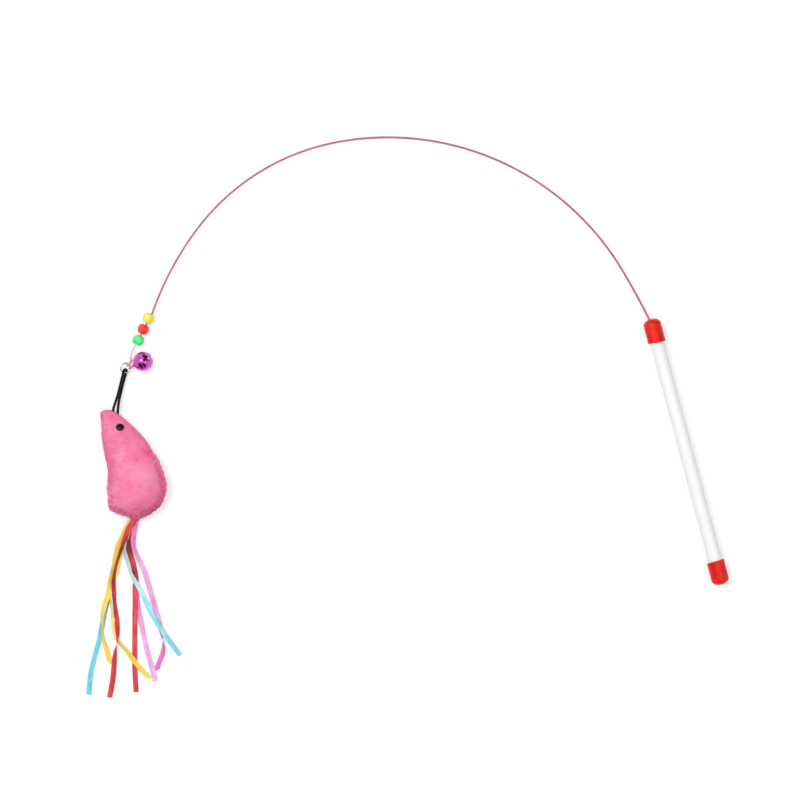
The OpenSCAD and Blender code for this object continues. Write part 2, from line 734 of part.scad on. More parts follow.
// Sewn ends of the ribbons, held in the rump's seam
module tail_tab() {
    color([0.86, 0.3, 0.34])
        translate([tail_root[0], tail_root[1], tail_z])
            rotate([0, 0, tab_heading])
                translate([-tab_length, -tab_w / 2, -tab_t / 2])
                    cube([tab_length, tab_w, tab_t]);
}

// Ribbon that falls from its layer of the root to its layer of the pile, and sinks on to its
// last layer between two shares of its route. Heights go by the distance from the root, so
// that ribbons which cross there keep their order.
module ribbon(route, root_layer, pile_layer, last_layer, sink_from, sink_to) {
    flat = smooth_route(route, ribbon_steps);
    n = len(flat) - 1;
    low = floor_z + ribbon_play + ribbon_t / 2;
    top = tail_z - root_middle * layer_rise;
    lifted = [for (i = [0:n])
        let (away = norm(flat[i]), fall = ease(away / fall_length),
            pack = ease((away - fall_length) / pack_length),
            sink = ease((i / n - sink_from) / (sink_to - sink_from)),
            pile = pile_layer + (last_layer - pile_layer) * sink,
            layer = root_layer + (pile - root_layer) * pack)
        [tail_root[0] + flat[i][0], tail_root[1] + flat[i][1],
            top + (low - top) * fall + layer * layer_rise]];
    loft(swept(lifted, ribbon_section(ribbon_w, ribbon_t)));
}

// Smooth step from 0 to 1
function ease(t) = let (u = max(0, min(1, t))) u * u * (3 - 2 * u);

module ribbon_blue_long() {
    color([0.45, 0.77, 0.85])
        ribbon(blue_long_route, 0, 0, 0, 0.8, 1);
}

module ribbon_red_short() {
    color([0.88, 0.29, 0.31])
        ribbon(red_short_route, 1, 0, 0, 0.8, 1);
}

module ribbon_lilac_short() {
    color([0.92, 0.7, 0.9])
        ribbon(lilac_short_route, 2, 1, 0, 0.5, 0.7);
}

module ribbon_lilac_long() {
    color([0.92, 0.7, 0.9])
        ribbon(lilac_long_route, 3, 2, 1, 0.62, 0.8);
}

module ribbon_yellow_short() {
    color([0.95, 0.84, 0.3])
        ribbon(yellow_short_route, 4, 1, 0, 0.88, 0.98);
}

module ribbon_yellow_long() {
    color([0.95, 0.84, 0.3])
        ribbon(yellow_long_route, 5, 2, 1, 0.65, 0.85);
}

module ribbon_red_long() {
    color([0.88, 0.29, 0.31])
        ribbon(red_long_route, 6, 3, 0, 0.86, 1);
}

module ribbon_blue_short() {
    color([0.45, 0.77, 0.85])
        ribbon(blue_short_route, 7, 3, 0, 0.82, 1);
}

handle_tube();
rear_cap();
front_cap();
wire_plug();
wire_ferrule();
wire_core_root();
wire_coat_root();
wire_core();
wire_coat();
wire_eye();
bead_yellow();
bead_red();
bead_green();
jump_ring();
bell_crown();
bell_skirt();
bell_pellet();
cord_loop();
cord_knot();
mouse_upper_panel();
mouse_lower_panel();
mouse_stuffing();
eye_left();
eye_right();
tail_tab();
ribbon_yellow_long();
ribbon_yellow_short();
ribbon_red_long();
ribbon_red_short();
ribbon_blue_long();
ribbon_blue_short();
ribbon_lilac_long();
ribbon_lilac_short();
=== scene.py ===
# %% [markdown]
# # A cat teaser wand, laid flat on a table
#
# A capped plastic tube is the handle. A thin sprung wire leaves it and falls over in a
# wide bow. Three loose beads, a split ring, a jingle bell and a stuffed fleece mouse hang
# on the wire's end, and eight satin ribbons are the mouse's tail.
#
# The CAD model is loaded first, as a fixed frame. It could be shown as it is, but its
# beads have flat facets and its mouse has no nap. So most of its nodes are replaced by
# finer surfaces that are worked out in the same places, from the same measures.

# %% Load the imported model
import bpy
import numpy as np
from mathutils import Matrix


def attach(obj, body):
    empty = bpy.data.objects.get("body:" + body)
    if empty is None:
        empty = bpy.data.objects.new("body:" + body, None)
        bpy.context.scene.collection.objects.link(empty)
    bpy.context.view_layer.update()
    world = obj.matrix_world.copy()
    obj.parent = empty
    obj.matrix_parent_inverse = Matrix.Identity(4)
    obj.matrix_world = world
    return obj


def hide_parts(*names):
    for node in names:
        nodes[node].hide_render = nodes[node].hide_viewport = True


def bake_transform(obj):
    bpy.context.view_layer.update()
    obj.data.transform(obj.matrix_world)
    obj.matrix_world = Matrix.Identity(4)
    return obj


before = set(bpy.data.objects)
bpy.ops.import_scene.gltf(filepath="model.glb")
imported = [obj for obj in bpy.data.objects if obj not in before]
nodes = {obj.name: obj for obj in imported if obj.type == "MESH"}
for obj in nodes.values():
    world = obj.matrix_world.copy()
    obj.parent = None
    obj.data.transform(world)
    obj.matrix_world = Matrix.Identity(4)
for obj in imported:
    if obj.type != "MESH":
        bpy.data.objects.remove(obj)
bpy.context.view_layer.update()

# %% [markdown]
# ## The camera
#
# The wand is seen from straight above. The handle leans on the picture, but in the
# model it runs along +Y, so the camera is turned about its own axis instead. A long
# lens from far away keeps the tube's sides parallel.

# %% Put the camera over the middle of the picture
CAMERA_HEIGHT = 3.2
LONG_LENS = 200
HANDLE_LEAN = 14.92
PICTURE_MIDDLE = (-0.1895, 0.1831)

lens = bpy.data.cameras.new("camera")
lens.lens = LONG_LENS
camera = bpy.data.objects.new("camera", lens)
camera.location = (*PICTURE_MIDDLE, CAMERA_HEIGHT)
camera.rotation_euler = (0, 0, -np.radians(HANDLE_LEAN))
bpy.context.scene.collection.objects.link(camera)
bpy.context.scene.camera = camera
print("picture is", round(CAMERA_HEIGHT * lens.sensor_width / LONG_LENS, 3), "m wide")

# %% [markdown]
# ## A surface from a grid of points
#
# Nearly every piece of the wand is a tube of some kind: rings of points, one after
# another. One helper turns such a grid into a mesh. It works in millimetres, like a
# maker's drawing, and stores metres. The faces come from the grid's own numbering, so
# nothing loops over the points, and the sign of the volume tells whether to turn them.

# %% Build a closed mesh from a grid
MM = 0.001


def join_grid(rings, spokes, ring):
    """Corners of the quads between neighbouring rings. Their two shares, along and round,
    go with them, so that a pattern can follow the surface."""
    step, turn = np.meshgrid(np.arange(rings - (not ring)), np.arange(spokes), indexing="ij")
    steps = np.stack([step, step, step + 1, step + 1], -1).reshape(-1, 4)
    turns = np.stack([turn, turn + 1, turn + 1, turn], -1).reshape(-1, 4)
    corners = (steps % rings) * spokes + turns % spokes
    return corners, np.stack([steps / (rings - (not ring)), turns / spokes], -1)


def close_ends(rings, spokes):
    """Fans of triangles from each end's ring to its middle point."""
    turn = np.arange(spokes)
    after = (turn + 1) % spokes
    last = (rings - 1) * spokes
    fans = [np.stack([after, turn, np.full(spokes, rings * spokes)], -1),
            np.stack([last + turn, last + after, np.full(spokes, rings * spokes + 1)], -1)]
    shares = [np.stack([np.full((spokes, 3), end),
                        np.stack([a, b, (a + b) / 2], -1) / spokes], -1)
              for end, a, b in ((0, turn + 1, turn), (1, turn, turn + 1))]
    return np.concatenate(fans), np.concatenate(shares)


def volume(points, faces):
    """Sum over the faces of corner 1 . (corner 2 x corner 3) / 6, quads in two halves."""
    total = 0
    for k in range(1, faces.shape[1] - 1):
        a, b, c = points[faces[:, 0]], points[faces[:, k]], points[faces[:, k + 1]]
        total += (a * np.cross(b, c)).sum() / 6
    return total


def fill_mesh(name, points, groups, sharp):
    """Object from points in mm and groups of (faces, shares). A negative volume turns
    every face over."""
    inside_out = sum(volume(points, faces) for faces, _ in groups) < 0
    if inside_out:
        groups = [(faces[:, ::-1], shares[:, ::-1]) for faces, shares in groups]
    mesh = bpy.data.meshes.new(name)
    corners = np.concatenate([faces.ravel() for faces, _ in groups])
    sizes = np.concatenate([np.full(len(faces), faces.shape[1]) for faces, _ in groups])
    mesh.vertices.add(len(points))
    mesh.vertices.foreach_set("co", (points * MM).ravel())
    mesh.loops.add(len(corners))
    mesh.loops.foreach_set("vertex_index", corners)
    mesh.polygons.add(len(sizes))
    mesh.polygons.foreach_set("loop_start", np.concatenate([[0], np.cumsum(sizes)[:-1]]))
    flow = mesh.uv_layers.new(name="flow")
    flow.uv.foreach_set("vector", np.concatenate([s.reshape(-1) for _, s in groups]))
    mesh.update(calc_edges=True)
    mesh.shade_smooth()
    if sharp:
        mesh.set_sharp_from_angle(angle=np.radians(sharp))
    piece = bpy.data.objects.new(name, mesh)
    bpy.context.scene.collection.objects.link(piece)
    return piece


def skin(name, grid, ring=False, sharp=40):
    """grid[i, j] is the point at step i along the piece and step j round it. ring=True
    joins the last step to the first; otherwise both ends are closed."""
    rings, spokes = grid.shape[:2]
    points = grid.reshape(-1, 3)
    groups = [join_grid(rings, spokes, ring)]
    if not ring:
        points = np.vstack([points, grid[0].mean(0), grid[-1].mean(0)])
        groups.append(close_ends(rings, spokes))
    return fill_mesh(name, points, groups, sharp)


print("a grid of 3 by 4 points makes", len(join_grid(3, 4, False)[0]), "quads")

# %% [markdown]
# ## Lines and what runs along them
#
# Wire, cord, ribbon and thread are all a small profile carried along a line. The line
# passes smoothly through a few chosen points. At each step the profile stands square to
# the line, with one axis kept level, because nothing here runs straight up.

# %% Draw a smooth line and carry a profile along it
def smooth_line(points, pace):
    """Catmull-Rom curve: between b and c a point is half of 2b + (c-a)t + (2a-5b+4c-d)t^2
    + (3b-a-3c+d)t^3. It is then walked at an even pace in mm."""
    p = np.asarray(points, float)
    ends = np.vstack([p[:1], p, p[-1:]])
    t = np.linspace(0, 1, 24, endpoint=False)[:, None, None]
    a, b, c, d = ends[:-3], ends[1:-2], ends[2:-1], ends[3:]
    curve = (2 * b + (c - a) * t + (2 * a - 5 * b + 4 * c - d) * t ** 2
             + (3 * b - a - 3 * c + d) * t ** 3) / 2
    return even_line(np.vstack([curve.swapaxes(0, 1).reshape(-1, p.shape[1]), p[-1:]]), pace)


def walked(line):
    """Distance from the line's start to each of its points: the sum of the steps."""
    return np.concatenate([[0], np.cumsum(np.linalg.norm(np.diff(line, axis=0), axis=1))])


def at_distance(line, distance):
    """Point at a distance along the line, between its two neighbours."""
    far = walked(line)
    return np.stack([np.interp(distance, far, line[:, k]) for k in range(line.shape[1])], -1)


def even_line(line, pace):
    """The same line with its points an even pace apart."""
    length = walked(line)[-1]
    return at_distance(line, np.linspace(0, length, int(np.ceil(length / pace)) + 1))


def unit(v):
    """Vectors of length one."""
    return v / np.linalg.norm(v, axis=-1, keepdims=True)


def level_frame(line, up=(0, 0, 1)):
    """Two directions square to a line: side = along x up, rise = side x along."""
    along = unit(np.gradient(line, axis=0))
    side = unit(np.cross(along, up))
    return side, np.cross(side, along)


def carry(line, across, above, up=(0, 0, 1)):
    """grid[i, j] = line point i + across[i, j] to its side + above[i, j] upwards."""
    side, rise = level_frame(line, up)
    return (line[:, None] + np.atleast_2d(across)[..., None] * side[:, None]
            + np.atleast_2d(above)[..., None] * rise[:, None])


def even_turns(spokes):
    """Angles that share a full turn evenly."""
    return np.arange(spokes) * 2 * np.pi / spokes


def round_profile(radius, spokes):
    """Circle: radius times the cosine and sine of even turns."""
    turn, radius = even_turns(spokes), np.asarray(radius)[..., None]
    return radius * np.cos(turn), radius * np.sin(turn)


print("a full turn in four:", np.round(even_turns(4), 2))


# %% [markdown]
# ## Turned pieces and where they stand
#
# Caps, beads, bell and buttons are turned: a profile of radius and height, spun about an
# axis. The profile is drawn upright and then set on the axis where the piece belongs.

# %% Turn a profile on an axis
def turned(profile, spokes):
    """grid[i, j] = (radius i cos turn j, radius i sin turn j, height i)."""
    profile, turn = np.asarray(profile, float), even_turns(spokes)
    radius, height = profile[:, 0, None], profile[:, 1, None]
    return np.stack([radius * np.cos(turn), radius * np.sin(turn),
                     np.broadcast_to(height, (len(profile), spokes))], -1)


def on_ball(radius, turn):
    """Profile on a ball: radius times the sine, and height times the cosine of the turn."""
    return radius * np.column_stack([np.sin(turn), np.cos(turn)])


def set_on(grid, middle, axis, level=(0, 0, 1)):
    """Moves a piece drawn about +Z so that +Z lies along the axis, at its middle point."""
    axis = unit(np.asarray(axis, float))
    side = unit(np.cross(level, axis))
    return np.asarray(middle) + grid @ np.stack([np.cross(side, axis), side, axis])


def hoop(radius, wire, spokes, sides):
    """Ring of round wire: the wire's circle, carried round a circle about +Z."""
    turn, around = even_turns(spokes)[:, None], even_turns(sides)
    reach = radius + wire * np.cos(around)
    return np.stack([reach * np.cos(turn), reach * np.sin(turn),
                     wire * np.sin(around) + 0 * turn], -1)


def heading(degrees):
    """Level direction, counted in degrees from +X."""
    return np.stack([np.cos(np.radians(degrees)), np.sin(np.radians(degrees))], -1)


TIP_R = 0.05
print("a turned piece's tip is a ring of", TIP_R, "mm, closed by a fan")

# %% [markdown]
# ## Finishes
#
# Each finish starts from Blender's Principled shader. A number that is the same all over
# is set on the shader itself. What varies, such as weave, brushed nap or moulding marks,
# comes from a few pattern nodes that read the object's own place or its flow map.

# %% Helpers for the finishes
def card(red, green, blue):
    """Colour as on a colour card, 0 to 255, turned into the shader's linear values."""
    shade = np.array([red, green, blue]) / 255
    linear = np.where(shade <= 0.04045, shade / 12.92, ((shade + 0.055) / 1.055) ** 2.4)
    return (*linear.tolist(), 1.0)


def add_node(tree, kind, wires=(), **settings):
    """One node, with its settings and what is plugged into it."""
    node = tree.nodes.new("ShaderNode" + kind)
    for word, value in settings.items():
        setattr(node, word, value)
    for socket, value in dict(wires).items():
        if isinstance(value, bpy.types.NodeSocket):
            tree.links.new(value, node.inputs[socket])
        else:
            node.inputs[socket].default_value = value
    return node


class Finish:
    """A material with one shader, and short words for wiring patterns into it."""

    def __init__(self, name, colour, roughness, **numbers):
        self.material = bpy.data.materials.new(name)
        self.material.use_nodes = True
        self.tree = self.material.node_tree
        self.shader = self.tree.nodes["Principled BSDF"]
        self.shader.inputs["Base Color"].default_value = card(*colour)
        self.shader.inputs["Roughness"].default_value = roughness
        for words, value in numbers.items():
            self.shader.inputs[words.replace("_", " ")].default_value = value

    def add(self, kind, wires=(), **settings):
        """One node in this finish."""
        return add_node(self.tree, kind, wires, **settings)

    def place(self, source="Object", stretch=(1, 1, 1), turn=(0, 0, 0)):
        """Where on the piece a pattern is read, stretched and turned."""
        spot = self.add("TexCoord").outputs[source]
        return self.add("Mapping", {"Vector": spot, "Scale": stretch, "Rotation": turn}).outputs[0]

    def cloud(self, scale, detail=3.0, rough=0.55, **spot):
        """Soft random patches."""
        return self.add("TexNoise", {"Vector": self.place(**spot), "Scale": scale,
                                     "Detail": detail, "Roughness": rough}).outputs[0]

    def lines(self, scale, way="X", **spot):
        """Even bands."""
        return self.add("TexWave", {"Vector": self.place(**spot), "Scale": scale},
                        bands_direction=way).outputs["Fac"]

    def maths(self, deed, a, b=0.0, c=0.0):
        """One sum on two or three numbers."""
        return self.add("Math", {0: a, 1: b, 2: c}, operation=deed).outputs[0]

    def ramp(self, share, *stops):
        """Colours laid out along a share from 0 to 1: (place, linear colour), ..."""
        node = self.add("ValToRGB", {0: share})
        elements = node.color_ramp.elements
        while len(elements) < len(stops):
            elements.new(1.0)
        for element, (place, colour) in zip(elements, stops):
            element.position, element.color = place, colour
        return node.outputs[0]

    def shades(self, share, *stops):
        """The surface's colour follows a share: (place, card colour), ..."""
        colours = self.ramp(share, *((place, card(*shade)) for place, shade in stops))
        self.tree.links.new(colours, self.shader.inputs["Base Color"])

    def dull(self, share, low, high):
        """Roughness that follows a share, from low to high."""
        span = self.add("MapRange", {"Value": share, "To Min": low, "To Max": high})
        self.tree.links.new(span.outputs[0], self.shader.inputs["Roughness"])

    def relief(self, *heights):
        """Bumps, each a (height share, depth in mm), laid on one another."""
        under = None
        for height, depth in heights:
            wires = {"Height": height, "Distance": depth * MM, "Strength": 1.0}
            if under:
                wires["Normal"] = under
            under = self.add("Bump", wires).outputs[0]
        self.tree.links.new(under, self.shader.inputs["Normal"])


def flecked(name, colour, roughness, grain, dark, pale, gloss, depth, spot=(), **numbers):
    """A finish whose colour, gloss and height all follow one cloud of flecks. The grain is
    the cloud's scale and detail, and spot says how it is stretched. The gloss is the
    roughness from the dark to the pale flecks, or None where it stays the same."""
    finish = Finish(name, colour, roughness, **numbers)
    flecks = finish.cloud(*grain, **dict(spot))
    finish.shades(flecks, dark, pale)
    if gloss:
        finish.dull(flecks, *gloss)
    finish.relief((flecks, depth))
    return finish


def put_on(piece, finish):
    """The finish in place of whatever the piece had."""
    piece.data.materials.clear()
    piece.data.materials.append(finish.material)


def finish_piece(piece, finish, slot, body, *replaced):
    """Gives a piece its finish and its body, and hides the nodes it stands for. The slot is
    not used. A piece whose body is None gets no body here."""
    put_on(piece, finish)
    if body:
        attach(piece, body)
    if replaced:
        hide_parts(*replaced)


def mottle(points, grain, seed, waves=26):
    """Smooth random height near -1 to 1: the sum of sine waves about one grain (mm) long in
    random directions, over the root of half their number and over 1.5."""
    random = np.random.default_rng(seed)
    way = unit(random.normal(size=(waves, 3))).T
    length = grain * random.uniform(0.7, 1.6, waves)
    phase = random.uniform(0, 2 * np.pi, waves)
    return np.sin(points @ (way * 2 * np.pi / length) + phase).sum(-1) / np.sqrt(waves / 2) / 1.5


def bumps(points, sizes, seed, waves=26):
    """Sum of mottles, one for each (height, grain)."""
    return sum(height * mottle(points, grain, seed + k, waves)
               for k, (height, grain) in enumerate(sizes))


print("white card is", card(255, 255, 255)[:3])

# %% [markdown]
# ## Where things are
#
# The main places come from the CAD's own measures: the wire leaves the front cap with a
# small lean, bends in four arcs, and dips a little towards its far end, so that the last
# bead touches the table. The toy's links are placed from the end of that wire.

# %% Follow the wire's bow
CAP_R = 6.4
FLOOR = -CAP_R
TUBE_LENGTH = 188
WIRE_EXIT = np.array([-1.21789, 193])
EXIT_HEADING = 101.5
BOW_ARCS = [(514, 4.5), (196.8, 70.4), (163.5, 41.9), (224.4, 17.4)]
BOW_DIP = np.radians(0.191272)
WIRE_PACE, NECK_PACE = 0.8, 0.3
KINK_R, KINK_TURN, RUN = 12, -8.5, 24.85
NECK_STRAIGHT, NECK_R, NECK_TURN = 5.5, 7.5, 50
EYE_HEADING, EYE_R, EYE_TO_RING = 216, 2.25, 4.4
RING_R, RING_WIRE = 3.5, 0.5


def bend(start, way, radius, turn, pace=WIRE_PACE):
    """Points on an arc. Its centre lies a radius to the left, or to the right of a negative
    turn, and a point is the centre less the radius, turned by its share of the turn."""
    count = int(np.ceil(abs(np.radians(turn)) * radius / pace)) + 1
    centre = start + np.sign(turn) * radius * heading(way + 90)
    return centre - np.sign(turn) * radius * heading(way + 90 + np.linspace(0, turn, count))


def dipped(flat, rise=0):
    """Level points in the bow's plane, which turns down about the wire's exit."""
    flat = np.asarray(flat, float)
    out = flat[..., 0] - WIRE_EXIT[0]
    return np.stack([WIRE_EXIT[0] + out * np.cos(BOW_DIP) - rise * np.sin(BOW_DIP),
                     flat[..., 1] + 0 * out,
                     out * np.sin(BOW_DIP) + rise * np.cos(BOW_DIP)], -1)


bow = [WIRE_EXIT[None]]
way = EXIT_HEADING
for radius, turn in BOW_ARCS:
    bow.append(bend(bow[-1][-1], way, radius, turn)[1:])
    way += turn
bow = np.vstack(bow)
kink = bend(bow[-1], way, KINK_R, KINK_TURN)
run_heading = way + KINK_TURN
neck_start = kink[-1] + RUN * heading(run_heading) + NECK_STRAIGHT * heading(run_heading)
neck = bend(neck_start, run_heading, NECK_R, NECK_TURN, NECK_PACE)
eye_middle = neck[-1] + EYE_R * heading(EYE_HEADING)
ring_middle = eye_middle + EYE_TO_RING * heading(EYE_HEADING)
LINK_Z = float(dipped(eye_middle)[2])
RING = np.array([*ring_middle, LINK_Z])
print("bow is", round(walked(bow)[-1], 1), "mm long; ring at", np.round(RING, 3))

# %% [markdown]
# ## The black elastic cord
#
# A short braided elastic cord is folded round the ring, and both of its strands go into
# the mouse's head, where a knot holds them. Its route follows the CAD's, and the elastic
# draws its two strands close together below the ring. The braid is real relief: two sets
# of strands wind round the cord in opposite directions.

# %% Fold the cord round the ring
CORD_R = 1.0
CORD_ROUTE = np.array([
    [-16.6, -31.8, 2.6], [-16.6, -28.8, 2.3], [-15.8, -26.0, 2.0], [-14.0, -23.1, 1.8],
    [-12.0, -20.0, 1.7], [-9.9, -16.6, 1.7], [-8.1, -13.3, 1.7], [-6.1, -9.7, 1.7],
    [-4.5, -6.8, 1.7], [-3.2, -4.5, 1.65], [-2.3, -2.7, 1.6], [-1.45, -1.45, 1.3],
    [-0.75, -1.0, 0.6], [-0.2, -1.05, -0.3], [0.15, -1.65, -1.2], [-0.35, -3.1, -1.6],
    [-1.7, -5.2, -1.75], [-3.5, -8.1, -1.7], [-5.4, -11.5, -1.5], [-7.2, -15.0, -0.9],
    [-9.0, -18.4, -0.1], [-10.6, -21.6, 0.7], [-12.0, -25.0, 1.6], [-13.2, -28.4, 2.2],
    [-14.1, -31.8, 2.6]])

cord_line = smooth_line(CORD_ROUTE + RING, 0.12)
cord_length = walked(cord_line)[-1]
BRAID_STRANDS, BRAID_PITCH, BRAID_DEPTH = 4, 2.6, 0.05


def braided(line, radius, spokes):
    """Radius = the cord's, less a depth times the square of (1 - weave). The weave is the
    size of the product of two sines that wind round the cord in opposite directions."""
    turn = even_turns(spokes)
    wind = walked(line)[:, None] * 2 * np.pi / BRAID_PITCH
    strands = BRAID_STRANDS * turn
    weave = np.abs(np.sin((strands + wind) / 2) * np.sin((strands - wind) / 2))
    rope = radius - BRAID_DEPTH * (1 - weave) ** 2
    return carry(line, rope * np.cos(turn), rope * np.sin(turn))


cord = skin("cord_loop.braid", braided(cord_line, CORD_R, 24), sharp=None)
print("cord is", round(cord_length, 1), "mm long from knot to knot")

# %% [markdown]
# Elastic is covered with fine black thread. A painted braid would look flat seen close, so
# the cord's own shape carries the braid, and the finish adds only the fibre's grain: a
# cloud read along the flow map and stretched into short streaks.

# %% Give the cord its black thread
black_cord = flecked("black elastic", (24, 20, 23), 0.75, (1.0, 2.0), (0.3, (12, 9, 11)),
                     (0.75, (38, 33, 37)), None, 0.05,
                     {"source": "UV", "stretch": (cord_length / 0.35, 16, 1)},
                     Sheen_Weight=0.1, Sheen_Roughness=0.4, Specular_IOR_Level=0.2)
finish_piece(cord, black_cord, "cord_black", "mouse", "cord_loop")
print("braid repeats every", BRAID_PITCH, "mm")

# %% [markdown]
# The knot is inside the head, so it is seldom seen. It is still tied: a cord that
# follows the trefoil line.

# %% Tie the cord's knot
knot_turn = even_turns(120)
trefoil = np.stack([np.sin(knot_turn) + 2 * np.sin(2 * knot_turn), -np.sin(3 * knot_turn) * 1.1,
                    np.cos(knot_turn) - 2 * np.cos(2 * knot_turn)], -1)
KNOT, KNOT_SIZE, KNOT_CORD_R = [-15.3, -33.8, 2.7], 0.52, 0.62
knot_line = RING + KNOT + KNOT_SIZE * trefoil


def closed_tube(line, radius, spokes):
    """Circle carried round a closed line, square to it: side = along x line point from the
    middle, which never vanishes on this knot."""
    along = unit(np.roll(line, -1, 0) - np.roll(line, 1, 0))
    side = unit(np.cross(along, line - line.mean(0) + [0, 0.3, 0]))
    rise = np.cross(side, along)
    c, s = round_profile(radius, spokes)
    return line[:, None] + c[None, :, None] * side[:, None] + s[None, :, None] * rise[:, None]


cord_knot = skin("cord_knot.tied", closed_tube(knot_line, KNOT_CORD_R, 14), ring=True)
finish_piece(cord_knot, black_cord, "cord_black", "mouse", "cord_knot")
print("knot is", np.round(np.ptp(knot_line, axis=0), 1), "mm between its lines")

# %% [markdown]
# ## The satin ribbon tail
#
# Eight narrow satin ribbons, two of each colour, are sewn into the rump. Each is a thin
# closed strip that follows the CAD's route. Ribbon turns on edge here and there as it
# falls, so each has a list of rolls: a share of its length, and how far it has turned.
# A rolled ribbon is lifted by as much as its lower edge would sink.

# %% Lay one ribbon
RIBBON_W, RIBBON_T = 3.8, 0.18
TAIL_ROOT = np.array([-396.982, 149.273])
TAIL_Z = -0.74
LAYER_RISE, MIDDLE_LAYER = 0.42, 3.5


def ease(share):
    """Smooth step: u^2 (3 - 2u), with u kept from 0 to 1."""
    u = np.clip(share, 0, 1)
    return u * u * (3 - 2 * u)


def ribbon_line(route, root_layer, pile_layer, last_layer, sink_from, sink_to,
                pack_from=30, pack_over=20):
    """Height = the root's layer at the root and the pile's layer further on, eased between
    by the distance from the root, and sinking to the last layer between two shares. The
    layers are squeezed to 0.45 where the seam holds them, and open out over 9 mm."""
    route = np.array(route, float)
    inside = route[0] + 3 * unit(route[0] - route[1])
    flat = smooth_line(np.vstack([inside, route]), 0.5)
    away = np.linalg.norm(flat, axis=1)
    share = walked(flat) / walked(flat)[-1]
    low, top = FLOOR + 0.25, TAIL_Z - MIDDLE_LAYER * LAYER_RISE
    fall, pack = ease(away / 30), ease((away - pack_from) / pack_over)
    sunk = ease((share - sink_from) / (sink_to - sink_from))
    pile = pile_layer + (last_layer - pile_layer) * sunk
    layer = root_layer + (pile - root_layer) * pack
    squeeze = (layer - MIDDLE_LAYER) * LAYER_RISE * -0.55 * (1 - ease(away / 9))
    return np.column_stack([flat + TAIL_ROOT,
                            top + (low - top) * fall + layer * LAYER_RISE + squeeze])


def strip(line, rolls, cut):
    """Across a ribbon, w runs from -1 to 1 on its top and back again below. A point lies
    w half-widths to the side, curled down by w^2, and turned by the roll about the line.
    Near the end it is pulled back by w times the cut, so that the end is slanted."""
    around = np.linspace(0, 2 * np.pi, 28, endpoint=False)
    w, lid = np.cos(around), np.sign(np.sin(around) + 1e-9)
    lid[np.abs(w) > 0.999] = 0
    far = walked(line)
    share = far / far[-1]
    roll = np.radians(np.interp(share, *np.array(rolls, float).T))
    soft = np.ones(25) / 25
    roll = np.convolve(np.pad(roll, 12, "edge"), soft, "valid")[:, None]
    pull = cut * ease((share - 0.93) / 0.07)[:, None] * w
    x = w * RIBBON_W / 2
    y = lid * RIBBON_T / 2 - 0.1 * w ** 2 + 0.05
    flow = at_distance(line, far[:, None] - pull)
    side, rise = level_frame(line)
    lift = np.abs(np.sin(roll)) * RIBBON_W / 2
    across = x * np.cos(roll) - y * np.sin(roll)
    above = x * np.sin(roll) + y * np.cos(roll) + lift
    return flow + across[..., None] * side[:, None] + above[..., None] * rise[:, None]


print("ribbon is", RIBBON_W, "mm wide and", RIBBON_T, "mm thick")

# %% [markdown]
# Satin shines because long smooth warp threads float on its face. Seen close, fine lines
# run along it, finer ribs run across it, and both edges are woven tighter. A ribbon that
# turns goes from bright to deep, and that light and shade is painted into its colour: each
# has a list of tones of painted shade and highlight, a share of its length and how bright
# it is painted there, where 0.5 is plain.

# %% Weave the satin
# Each dye runs deep, plain, bright. Deep and bright serve the weave's darker and paler threads, and
# also painted shade and painted highlight.
SATIN = {"yellow": ((236, 182, 44), (248, 218, 84), (255, 240, 150)),
         "red": ((128, 10, 24), (216, 44, 58), (246, 96, 108)),
         "blue": ((58, 150, 180), (106, 212, 232), (204, 246, 250)),
         "lilac": ((226, 84, 168), (240, 168, 226), (253, 224, 251))}


def satin(name, dye, length, painted_light_tones=((0, 0.5), (1, 0.5))):
    """Warp lines along the flow, ribs across it, a darker band at both edges, long random
    patches of painted sheen, and a tone of painted shade and highlight that changes along
    the ribbon."""
    deep, plain, bright = SATIN[dye]
    finish = Finish(name, plain, 0.4, Sheen_Weight=0.15, Sheen_Roughness=0.3,
                    Specular_IOR_Level=0.45, Anisotropic=0.5)
    along, round_share, _ = finish.add("SeparateXYZ", {0: finish.place("UV")}).outputs
    middle = finish.maths("COSINE", finish.maths("MULTIPLY", round_share, 2 * np.pi))
    edge = finish.maths("POWER", finish.maths("ABSOLUTE", middle), 18)
    warp = finish.cloud(1.0, 2.0, source="UV", stretch=(length / 9, 90, 1))
    # Long random patches along the ribbon: painted sheen, its bright and dark bands.
    painted_sheen_patch = finish.cloud(1.0, 3.0, source="UV", stretch=(length / 11, 2.5, 1))
    ribs = finish.lines(1.0, source="UV", stretch=(length / 2.4, 0, 0))
    # Tone along the ribbon: painted shade and painted highlight, where 0.5 is plain.
    painted_tone = finish.ramp(along, *((share, (t, t, t, 1)) for share, t in painted_light_tones))
    both = finish.maths("MULTIPLY_ADD", warp, 0.35, finish.maths("MULTIPLY", painted_sheen_patch, 0.65))
    both = finish.maths("MULTIPLY_ADD", edge, -0.1, both)
    both = finish.maths("ADD", both, finish.maths("SUBTRACT", painted_tone, 0.5))
    # Colour from deep to bright: weave and edges, with painted sheen, painted shade and painted
    # highlight laid on.
    finish.shades(both, (0.22, deep), (0.5, plain), (0.76, bright))
    finish.dull(warp, 0.3, 0.5)
    finish.relief((ribs, 0.012), (warp, 0.02))
    return finish


print("satin dyes:", ", ".join(SATIN))
